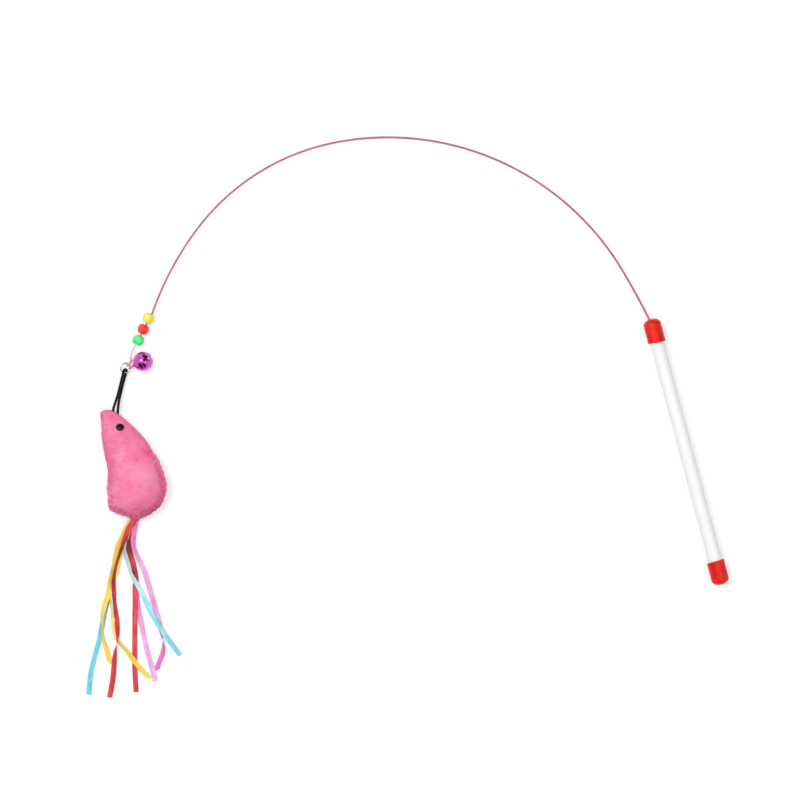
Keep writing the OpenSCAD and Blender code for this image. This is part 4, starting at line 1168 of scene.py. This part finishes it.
# %% Lay out the mouse's pattern
MOUSE_L, MOUSE_W, MOUSE_HALF = 82.4, 45.5, 14.0
FLEECE, MOUSE_TIP, ROUNDNESS = 1.0, 0.012, 1.3
NOSE_FROM_RING = [-15.4, -25.4]
STATIONS = np.array([0, 0.012, 0.03, 0.07, 0.115, 0.165, 0.21, 0.26, 0.355, 0.455, 0.505,
                     0.55, 0.65, 0.745, 0.795, 0.845, 0.89, 0.94, 0.977, 1])
LEFT = np.array([-0.2, -0.23, -0.24, -0.245, -0.259, -0.277, -0.296, -0.31, -0.323, -0.326,
                 -0.336, -0.354, -0.426, -0.453, -0.477, -0.481, -0.413, -0.281, -0.165, -0.1])
RIGHT = np.array([-0.13, -0.057, -0.018, 0.051, 0.114, 0.176, 0.231, 0.281, 0.368, 0.428,
                  0.464, 0.489, 0.505, 0.512, 0.492, 0.453, 0.4, 0.312, 0.158, 0.03])
SWELL = np.array([0.14, 0.2, 0.26, 0.36, 0.45, 0.52, 0.58, 0.64, 0.76, 0.86, 0.9, 0.94, 0.99,
                  1, 0.98, 0.92, 0.8, 0.6, 0.38, 0.2])
nose = ring_middle + NOSE_FROM_RING


def through(table, s):
    """Cubic pieces through a table. The slope at an entry is the harmonic mean of the
    slopes beside it, or zero at a peak, so the curve stays between its entries."""
    gap, rise = np.diff(STATIONS), np.diff(table) / np.diff(STATIONS)
    with np.errstate(divide="ignore", invalid="ignore"):
        mean = (3 * (gap[1:] + gap[:-1])
                / ((2 * gap[1:] + gap[:-1]) / rise[:-1] + (gap[1:] + 2 * gap[:-1]) / rise[1:]))
    slope = np.concatenate([rise[:1], np.where(rise[1:] * rise[:-1] > 0, mean, 0), rise[-1:]])
    k = np.clip(np.searchsorted(STATIONS, s, "right") - 1, 0, len(gap) - 1)
    t = (s - STATIONS[k]) / gap[k]
    return (table[k] * (1 + 2 * t) * (1 - t) ** 2 + slope[k] * gap[k] * t * (1 - t) ** 2
            + table[k + 1] * t ** 2 * (3 - 2 * t) + slope[k + 1] * gap[k] * t ** 2 * (t - 1))


def mouse_skin(s, turn, side, inset):
    """A point is the middle line less the half width times the cosine of the turn, and the
    seam's height plus the fullness times its sine to the power 1.3. Within a tip's length
    of nose and rump both shrink like a quarter circle."""
    near = np.clip(np.minimum(s, 1 - s) / MOUSE_TIP, 0, 1)
    tapered = np.sqrt(1 - (1 - near) ** 2)
    left, right = MOUSE_W * through(LEFT, s), MOUSE_W * through(RIGHT, s)
    full = MOUSE_HALF * through(SWELL, s)
    reach = ((right - left) / 2 - inset) * tapered
    seam = FLOOR + 0.7 * full + 0.3 * MOUSE_HALF - 0.5
    x = nose[0] + (left + right) / 2 - reach * np.cos(turn)
    y = nose[1] - MOUSE_L * s + 0 * turn
    rise = np.maximum(full - inset, 0.3) * tapered * np.abs(np.sin(turn)) ** ROUNDNESS
    return np.stack([x, y, seam + 0 * turn], -1), side * rise


print("nose is at", np.round(nose, 1), "mm")

# %% [markdown]
# The seam is overcast by hand from the middle of the back, round the rump, to the lower
# belly side. There the two layers lie flat on each other for about a millimetre, every
# stitch pulls a notch into the edge, and small puckers run out of the notches.

# %% Follow the sewn edge
STITCH, NOTCH, NOTCH_FADE, EDGE_ROUND = 4.5, 0.75, 1.5, 0.4
SEWN_FROM, SEWN_RUMP, SEWN_TO, EDGE_PACE = 0.47, 0.999, 0.63, 0.25
right_edge, _ = mouse_skin(np.linspace(SEWN_FROM, SEWN_RUMP, 160), np.pi, 1, 0)
left_edge, _ = mouse_skin(np.linspace(SEWN_RUMP, SEWN_TO, 110), 0, 1, 0)
sewn_edge = even_line(np.vstack([right_edge, left_edge]), EDGE_PACE)
edge_along = unit(np.gradient(sewn_edge, axis=0))
edge_in = unit(np.cross(edge_along, [0, 0, 1]))
edge_in = edge_in * np.sign(((np.array([*nose, 0]) - [0, 55, 0] - sewn_edge) * edge_in)
                            .sum(-1, keepdims=True))
edge_in[:, 2] = 0
notch = (0.5 + 0.5 * np.cos(walked(sewn_edge) * 2 * np.pi / STITCH)) ** 2
print("sewn edge is", round(walked(sewn_edge)[-1]), "mm long")


def from_edge(points):
    """Distance in plan to the sewn edge, and the number of its nearest point."""
    flat = points.reshape(-1, 3)[:, :2]
    best, place = np.full(len(flat), 1e9), np.zeros(len(flat), int)
    for start in range(0, len(sewn_edge), 40):
        piece = sewn_edge[start:start + 40, :2]
        apart = np.hypot(flat[:, 0, None] - piece[:, 0], flat[:, 1, None] - piece[:, 1])
        nearest = apart.argmin(1)
        closer = apart[np.arange(len(flat)), nearest]
        place = np.where(closer < best, start + nearest, place)
        best = np.minimum(best, closer)
    return best.reshape(points.shape[:-1]), place.reshape(points.shape[:-1])


def layer_height(depth, thick):
    """Height of pressed cloth over the seam: its thickness, and at the edge the thickness
    times the root of the depth over the edge's rounding."""
    return thick * np.sqrt(np.clip(depth / EDGE_ROUND, 0, 1))


def pulled_in(depth, notch):
    """How far a stitch pulls the cloth inwards, fading by e over each NOTCH_FADE."""
    return NOTCH * notch * np.exp(-np.maximum(depth, 0) / NOTCH_FADE)


def surface_way(grid, side):
    """Directions straight out of a panel: one edge of the grid crossed with the other."""
    way = np.cross(np.gradient(grid, axis=0), np.gradient(grid, axis=1))
    way = way / np.maximum(np.linalg.norm(way, axis=-1, keepdims=True), 1e-9)
    return way * side * np.sign((way[..., 2]).mean())


ROWS, CROWDED, END = 300, 0.55, 0.0004
FLANGE, SWELL_OVER, SWELL_AT_NOTCH, END_FADE = 0.5, 3.6, 1.2, 0.03
LUMPS, TUFTS = ((0.32, 13), (0.12, 4.5)), ((0.075, 1.5), (0.05, 0.9))
PUCKER, PUCKER_IN, PUCKER_OVER = 0.15, 3.0, 2.0


def fleece_face(side, inset, columns, seed):
    """One face of a panel. Height above the seam: the flange's thickness near the sewn
    edge, and the full shape about 4.5 mm further in. Then lumps of filling, notches and
    puckers, and the nap's own tufts are added. Rows crowd together at nose and rump."""
    t = np.linspace(0, 1, ROWS)
    s = np.clip(t - CROWDED * np.sin(2 * np.pi * t) / (2 * np.pi), END, 1 - END)[:, None]
    turn = np.linspace(0, np.pi, columns)[None]
    base, rise = mouse_skin(s, turn, side, inset)
    depth, place = from_edge(base)
    flange = layer_height(depth, FLEECE - inset)
    swell = ease((depth - FLANGE) / (SWELL_OVER + SWELL_AT_NOTCH * notch[place]))
    pressed = flange + (np.abs(rise) - flange) * swell
    rise = side * np.minimum(np.abs(rise), np.maximum(pressed, 0))
    grid = base + rise[..., None] * np.array([0, 0, 1])
    fade = ease(np.minimum(s, 1 - s) / END_FADE)
    grid = grid + pulled_in(depth, notch[place])[..., None] * edge_in[place]
    if inset == 0:
        away = ease(np.abs(rise) / 1.2) * fade
        folds = np.exp(-((depth - PUCKER_IN) / PUCKER_OVER) ** 2)
        pucker = PUCKER * (0.4 - notch[place]) * folds
        tufts = bumps(grid, TUFTS, seed + 2, 40) * fade * ease(np.abs(rise) / 0.3)
        height = (bumps(grid, LUMPS, seed) + pucker) * away + tufts
        grid = grid + height[..., None] * surface_way(grid, side)
    grid[..., 2] = np.maximum(grid[..., 2], FLOOR + inset)
    return grid


print("a stitch pulls the edge in by", round(float(pulled_in(0, 1)), 2), "mm")

# %% [markdown]
# ## The stuffed mouse: its fleece
#
# Fleece has a brushed nap. From a hand's distance it shows as soft streaks of lighter
# and darker pink, and its edge looks fuzzy. Near the sewn edge the pink is deeper: partly
# the nap that the seam presses flat, and partly painted shade on the flanks that turn
# away from the light. Each point of a panel keeps how near it is to the sewn edge, and
# the finish reads that as an attribute.

# %% Sew the panels
fleece = Finish("pink fleece", (250, 130, 170), 0.95, Sheen_Weight=0.42,
                Sheen_Roughness=0.5, Sheen_Tint=(1.0, 0.36, 0.56, 1.0), Specular_IOR_Level=0.08)
patches = fleece.cloud(42, 3.0)
brushed = fleece.cloud(1.0, 4.0, 0.65, stretch=(150, 420, 260), turn=(0, 0, 0.35))
nap = fleece.cloud(1500, 3.0, 0.7)
pile = fleece.maths("MULTIPLY_ADD", patches, 0.46, fleece.maths("MULTIPLY", brushed, 0.28))
pile = fleece.maths("MULTIPLY_ADD", nap, 0.26, pile)
# Near the sewn edge the pink is pulled deeper: pressed nap, and painted shade on the flanks.
pressed = fleece.add("Attribute", attribute_name="pressed").outputs["Fac"]
pile = fleece.maths("MULTIPLY_ADD", pressed, -0.05, pile)
fleece.shades(pile, (0.36, (250, 100, 148)), (0.49, (255, 138, 178)), (0.62, (255, 170, 204)))
fleece.relief((nap, 0.35), (brushed, 0.25))

PRESSED_SHADE_REACH = 4.0
panels = {}
for side, name, seed in ((1, "mouse_upper_panel", 21), (-1, "mouse_lower_panel", 41)):
    outer = fleece_face(side, 0, 190, seed)
    inner = fleece_face(side, FLEECE * 0.9, 60, seed)
    panel = skin(name + ".fleece", np.concatenate([outer, inner[:, ::-1]], 1), sharp=None)
    finish_piece(panel, fleece, "fleece_pink", "mouse", name)
    edge_away, _ = from_edge(read_off(panel.data.vertices, "co", 3) / MM)
    # How near each point is to the sewn edge: where the nap is pressed and where painted shade
    # falls on the flanks.
    pressed_nap_shade = np.exp(-(edge_away / PRESSED_SHADE_REACH) ** 2)
    panel.data.attributes.new("pressed", "FLOAT", "POINT").data.foreach_set("value", pressed_nap_shade)
    panels[side] = outer
    print(name, len(panel.data.polygons), "faces, up to", round(outer[..., 2].max(), 1), "mm")

# %% [markdown]
# Blender's hair could make the nap, but these pieces have to be plain meshes. So each fibre
# is a tiny pointed sliver on three feet, leaning the way that the fleece was brushed, and
# all of them are worked out as one array.

# %% Comb out the nap
FIBRES, FIBRE_R, FIBRE_L, ROOT_DEPTH = 24000, 0.045, (0.45, 1.05), 0.12
COMBED = np.array([0.3, -1, 0])
random = np.random.default_rng(7)


def fibre_roots(grid, side, count):
    """Random quads, picked by their area, and a random spot on each."""
    a, b, d = grid[:-1, :-1], grid[1:, :-1], grid[:-1, 1:]
    area = np.linalg.norm(np.cross(b - a, d - a), axis=-1).ravel()
    pick = random.choice(len(area), count, p=area / area.sum())
    u, v = random.uniform(0, 1, (2, count, 1))
    spot = a.reshape(-1, 3)[pick]
    spot = spot + u * (b.reshape(-1, 3)[pick] - spot) + v * (d.reshape(-1, 3)[pick] - spot)
    return spot, surface_way(grid, side)[:-1, :-1].reshape(-1, 3)[pick]


roots = [fibre_roots(panels[side], side, int(FIBRES * share))
         for side, share in ((1, 0.65), (-1, 0.35))]
spot, out = (np.concatenate(part) for part in zip(*roots))
lean = unit(0.75 * out + 0.45 * COMBED + 0.5 * random.normal(size=out.shape))
length = random.uniform(*FIBRE_L, (len(spot), 1))
side_way = unit(np.cross(lean, [0.31, 0.2, 0.93]))
other_way = np.cross(lean, side_way)
foot_c, foot_s = (share[:, None] for share in round_profile(FIBRE_R, 3))
feet = (spot - ROOT_DEPTH * out)[:, None] + foot_c * side_way[:, None] + foot_s * other_way[:, None]
tips = spot + lean * length
fibre_points = np.concatenate([feet, tips[:, None]], 1)
fibre_points[..., 2] = np.maximum(fibre_points[..., 2], FLOOR + 0.02)
first = np.arange(len(spot))[:, None, None] * 4
four = np.array([[0, 2, 1], [0, 1, 3], [1, 2, 3], [2, 0, 3]])
fibre_faces = (first + four).reshape(-1, 3)
foot_to_tip = np.array([[0, 0], [1, 0], [0.5, 1]], float)
fibre_shares = np.broadcast_to(foot_to_tip, (len(fibre_faces), 3, 2))
mouse_nap = fill_mesh("mouse_nap", fibre_points.reshape(-1, 3),
                      [(fibre_faces, fibre_shares)], None)
finish_piece(mouse_nap, fleece, "fleece_pink", "mouse")
print(len(spot), "fibres of", round(float(length.mean()), 2), "mm")

# %% [markdown]
# The thread goes over the edge, down through both layers, and on under the edge to the
# next stitch: a helix round the edge, squeezed to the flange's thickness.

# %% Overcast the seam
THREAD_R, THREAD_LIFT, THREAD_IN, THREAD_SWING = 0.22, 0.14, 0.85, 1.1
edge_far = walked(sewn_edge)
thread_far = np.arange(0.5 * STITCH, edge_far[-1] - 0.5 * STITCH, STITCH / 36)
wind = 2 * np.pi * thread_far / STITCH
depth = THREAD_IN - THREAD_SWING * np.cos(wind)
flange = layer_height(depth, FLEECE) + 0.35 * np.clip(depth - 1, 0, 1) ** 2
thread_z = (flange + THREAD_LIFT) * np.clip(2.4 * np.sin(wind), -1, 1)
edge_table = np.column_stack([sewn_edge, edge_in, edge_along, notch])
here = np.stack([np.interp(thread_far, edge_far, column) for column in edge_table.T], -1)
depth = depth + pulled_in(depth, here[:, 9])
thread_line = here[:, :3] + depth[:, None] * here[:, 3:6] + thread_z[:, None] * [0, 0, 1]
thread_line[:, 2] = np.maximum(thread_line[:, 2], FLOOR + THREAD_R)
thread = skin("mouse_seam_thread", carry(thread_line, *round_profile(THREAD_R, 8),
                                         unit(here[:, 6:9])), sharp=None)
pink_thread = Finish("pink thread", (238, 96, 146), 0.6, Sheen_Weight=0.4,
                     Sheen_Roughness=0.4)
ply = pink_thread.lines(1.0, "DIAGONAL", source="UV",
                        stretch=(walked(thread_line)[-1] / 0.9, 6, 1))
pink_thread.shades(ply, (0.2, (220, 76, 126)), (0.8, (248, 124, 168)))
pink_thread.dull(ply, 0.45, 0.7)
pink_thread.relief((ply, 0.06))
finish_piece(thread, pink_thread, "fleece_pink", "mouse")
print("thread is", round(walked(thread_line)[-1]), "mm long, in",
      round(edge_far[-1] / STITCH), "stitches")

# %% [markdown]
# The filling is loose polyester, packed into tufts. It stays a little inside the fleece,
# and the sewn flange squeezes it to nothing.

# %% Fill the mouse
FILL_FROM, FILL_TO, FILL_GAP, FILL_LEAST = 0.165, 0.895, 1.0, 0.12
fill_s = np.linspace(FILL_FROM, FILL_TO, 90)[:, None]
fill_turn = np.linspace(0, 2 * np.pi, 120, endpoint=False)[None]
base, rise = mouse_skin(fill_s, fill_turn, 1, FLEECE + FILL_GAP)
depth, _ = from_edge(base)
rise = np.maximum(rise * ease((depth - 1.5) / 5), FILL_LEAST)
fill_grid = base + (rise * np.sign(np.sin(fill_turn)))[..., None] * np.array([0, 0, 1])
tuft = (1 - np.abs(mottle(fill_grid, 9, 61))) * 0.9
fill_grid = fill_grid + tuft[..., None] * (fill_grid.mean(1, keepdims=True) - fill_grid) * 0.09
fill_grid[..., 2] = np.maximum(fill_grid[..., 2], FLOOR + FLEECE + 0.4)
filling = skin("mouse_stuffing.tufts", fill_grid, sharp=None)
wool = flecked("polyester filling", (242, 242, 238), 0.95, (380, 6.0, 0.7),
               (0.3, (226, 226, 220)), (0.7, (250, 250, 247)), None, 0.6, Sheen_Weight=0.4)
finish_piece(filling, wool, "stuffing", "mouse", "mouse_stuffing")
print("filling is", np.round(np.ptp(fill_grid.reshape(-1, 3), axis=0), 1), "mm")

# %% [markdown]
# ## The button eyes
#
# Two black plastic domes, one on each side of the head. The mouse lies on one of them.
# A dome stands square to the fleece: its direction is the cross product of two short
# steps along the skin.

# %% Press on the eyes
BUTTON_R, BUTTON_RISE, BUTTON_SINK, BUTTON_RIM = 3.0, 1.4, 0.3, 0.2
BUTTON_S, BUTTON_TURN = 0.182, np.arccos(-0.3)
dome_turn = np.linspace(np.pi / 2, 0.02, 26)
rim_turn = np.linspace(-np.pi / 2, 0, 6)
button_profile = np.vstack([
    [[TIP_R, -0.7], [0.9, -0.7], [0.9, 0]],
    np.column_stack([BUTTON_R - BUTTON_RIM + BUTTON_RIM * np.cos(rim_turn),
                     BUTTON_RIM + BUTTON_RIM * np.sin(rim_turn)]),
    np.column_stack([BUTTON_R * np.sin(dome_turn),
                     BUTTON_RIM + (BUTTON_RISE - BUTTON_RIM) * np.cos(dome_turn)])[1:]])
button_black = flecked("button black", (20, 8, 12), 0.3, (900, 4.0), (0.3, (18, 3, 7)),
                       (0.75, (48, 16, 24)), (0.26, 0.42), 0.02, Specular_IOR_Level=0.22,
                       Coat_Weight=0.04, Coat_Roughness=0.12)

for side, name in ((1, "eye_left"), (-1, "eye_right")):
    spots = []
    for ds, dt in ((0, 0), (0.01, 0), (0, 0.0175)):
        base, rise = mouse_skin(np.array(BUTTON_S + ds), np.array(BUTTON_TURN + dt), side,
                                BUTTON_SINK)
        spots.append(base + rise * np.array([0, 0, 1]))
    out = side * np.cross(spots[1] - spots[0], spots[2] - spots[0])
    button = skin(name + ".button", set_on(turned(button_profile, 80), spots[0], out), sharp=50)
    finish_piece(button, button_black, "eye_black", "mouse", name)
    print(name, "at", np.round(spots[0], 2))

# %% [markdown]
# ## Table, lamps and background
#
# The table is a plain pale sheet that the camera sees as white, except where the wand
# shades it. The world's light is stronger overhead than at the horizon, like a studio's
# ceiling, so that round pieces darken at their sides. A soft lamp over the wand's upper
# left gives the round pieces their shape, and a weaker one from the lower right fills
# their shadows.

# %% Set the table and the lights
from mathutils import Euler

OVERHEAD, HORIZON = 0.82, 0.26
TABLE_SIZE, TABLE_GAP = 12, 0.00005
PAPER_LIT, PAPER_GLOW = 0.62, 0.48
WHITE = (1, 1, 1, 1)
LAMPS = {"key": ((-0.75, 0.75, 1.7), 13, 0.7), "fill": ((0.5, -0.3, 1.9), 4, 0.8)}


def sheet_of_paper(name, middle, width, depth, tilt=(0, 0, 0)):
    """Flat card: a grid of 9 by 9 points, turned and moved in its mesh."""
    across, along = np.meshgrid(np.linspace(-0.5, 0.5, 9), np.linspace(-0.5, 0.5, 9))
    points = np.stack([across * width, along * depth, 0 * across], -1).reshape(-1, 3)
    points = points @ np.array(Euler(tilt).to_matrix()).T + middle
    k = (np.arange(8)[:, None] * 9 + np.arange(8)).reshape(-1, 1)
    mesh = bpy.data.meshes.new(name)
    mesh.from_pydata(points.tolist(), [], (k + [0, 1, 10, 9]).tolist())
    card_piece = bpy.data.objects.new(name, mesh)
    bpy.context.scene.collection.objects.link(card_piece)
    return card_piece


def bare_tree(owner):
    """Node tree of a material or world, emptied."""
    owner.use_nodes = True
    owner.node_tree.nodes.clear()
    return owner.node_tree


def seen_share(tree):
    """One for rays that look, from the camera, off a gloss or through something clear, and
    zero for rays that only carry light about."""
    ray = add_node(tree, "LightPath").outputs
    seen = ray["Is Camera Ray"]
    for other in ("Is Glossy Ray", "Is Transmission Ray"):
        seen = add_node(tree, "Math", {0: seen, 1: ray[other]}, operation="MAXIMUM").outputs[0]
    return seen


floor = sheet_of_paper("table", (-0.2, 0.2, FLOOR * MM - TABLE_GAP), TABLE_SIZE, TABLE_SIZE)
paper = bpy.data.materials.new("table paper")
tree = bare_tree(paper)
lit = add_node(tree, "BsdfDiffuse", {"Color": (PAPER_LIT, PAPER_LIT, PAPER_LIT, 1)})
power = add_node(tree, "Math", {0: seen_share(tree), 1: PAPER_GLOW}, operation="MULTIPLY")
glow = add_node(tree, "Emission", {"Color": WHITE, "Strength": power.outputs[0]})
both = add_node(tree, "AddShader", {0: lit.outputs[0], 1: glow.outputs[0]})
add_node(tree, "OutputMaterial", {0: both.outputs[0]})
floor.data.materials.append(paper)

world = bpy.data.worlds.new("studio")
bpy.context.scene.world = world
tree = bare_tree(world)
way_up = add_node(tree, "SeparateXYZ", {0: add_node(tree, "TexCoord").outputs["Generated"]})
ceiling = add_node(tree, "MapRange", {"Value": way_up.outputs["Z"], "To Min": HORIZON,
                                      "To Max": OVERHEAD})
strength = add_node(tree, "MapRange", {"Value": seen_share(tree),
                                       "To Min": ceiling.outputs[0], "To Max": 1.0})
sky = add_node(tree, "Background", {"Color": WHITE, "Strength": strength.outputs[0]})
add_node(tree, "OutputWorld", {0: sky.outputs[0]})

for name, (place, power, size) in LAMPS.items():
    lamp = bpy.data.lights.new(name, "AREA")
    lamp.energy, lamp.size = power, size
    lamp_piece = bpy.data.objects.new(name, lamp)
    lamp_piece.location = place
    way = np.array([-0.25, 0.2, 0]) - place
    lamp_piece.rotation_euler = (np.arctan2(np.hypot(way[0], way[1]), -way[2]), 0,
                                 np.arctan2(way[1], way[0]) - np.pi / 2)
    bpy.context.scene.collection.objects.link(lamp_piece)
    print(name, "lamp:", power, "W,", size, "m wide")

bpy.context.scene.view_settings.view_transform = "Standard"

# %% [markdown]
# Polished metal shows only what is round it, and in a white room it would look flat. Two
# dark cards stand outside the picture, one at the upper right and one below, and give the
# bell its dark bands. Only reflections see them, so they take no light from the wand.

# %% Stand the dark cards
SOOT = (0.1, 0.1, 0.1, 1)
TOY = np.array([-0.361, 0.2576, 0])
FLAGS = {"flag.right": (36, 0.72, 0.34, 1.3, 0.66, 84),
         "flag.below": (-114, 0.50, 0.42, 1.1, 0.8, 58)}
flag = bpy.data.materials.new("dark card")
tree = bare_tree(flag)
soot = add_node(tree, "BsdfDiffuse", {"Color": SOOT})
add_node(tree, "OutputMaterial", {0: soot.outputs[0]})
for name, (way, far, rise, width, height, lean) in FLAGS.items():
    middle = TOY + far * np.array([*heading(way), 0]) + [0, 0, rise]
    dark = sheet_of_paper(name, middle, width, height,
                          (np.radians(lean), 0, np.radians(way + 90)))
    dark.data.materials.append(flag)
    dark.visible_camera = dark.visible_diffuse = dark.visible_shadow = False
    dark.visible_transmission = dark.visible_volume_scatter = False
    print(name, "stands", far, "m from the bell")
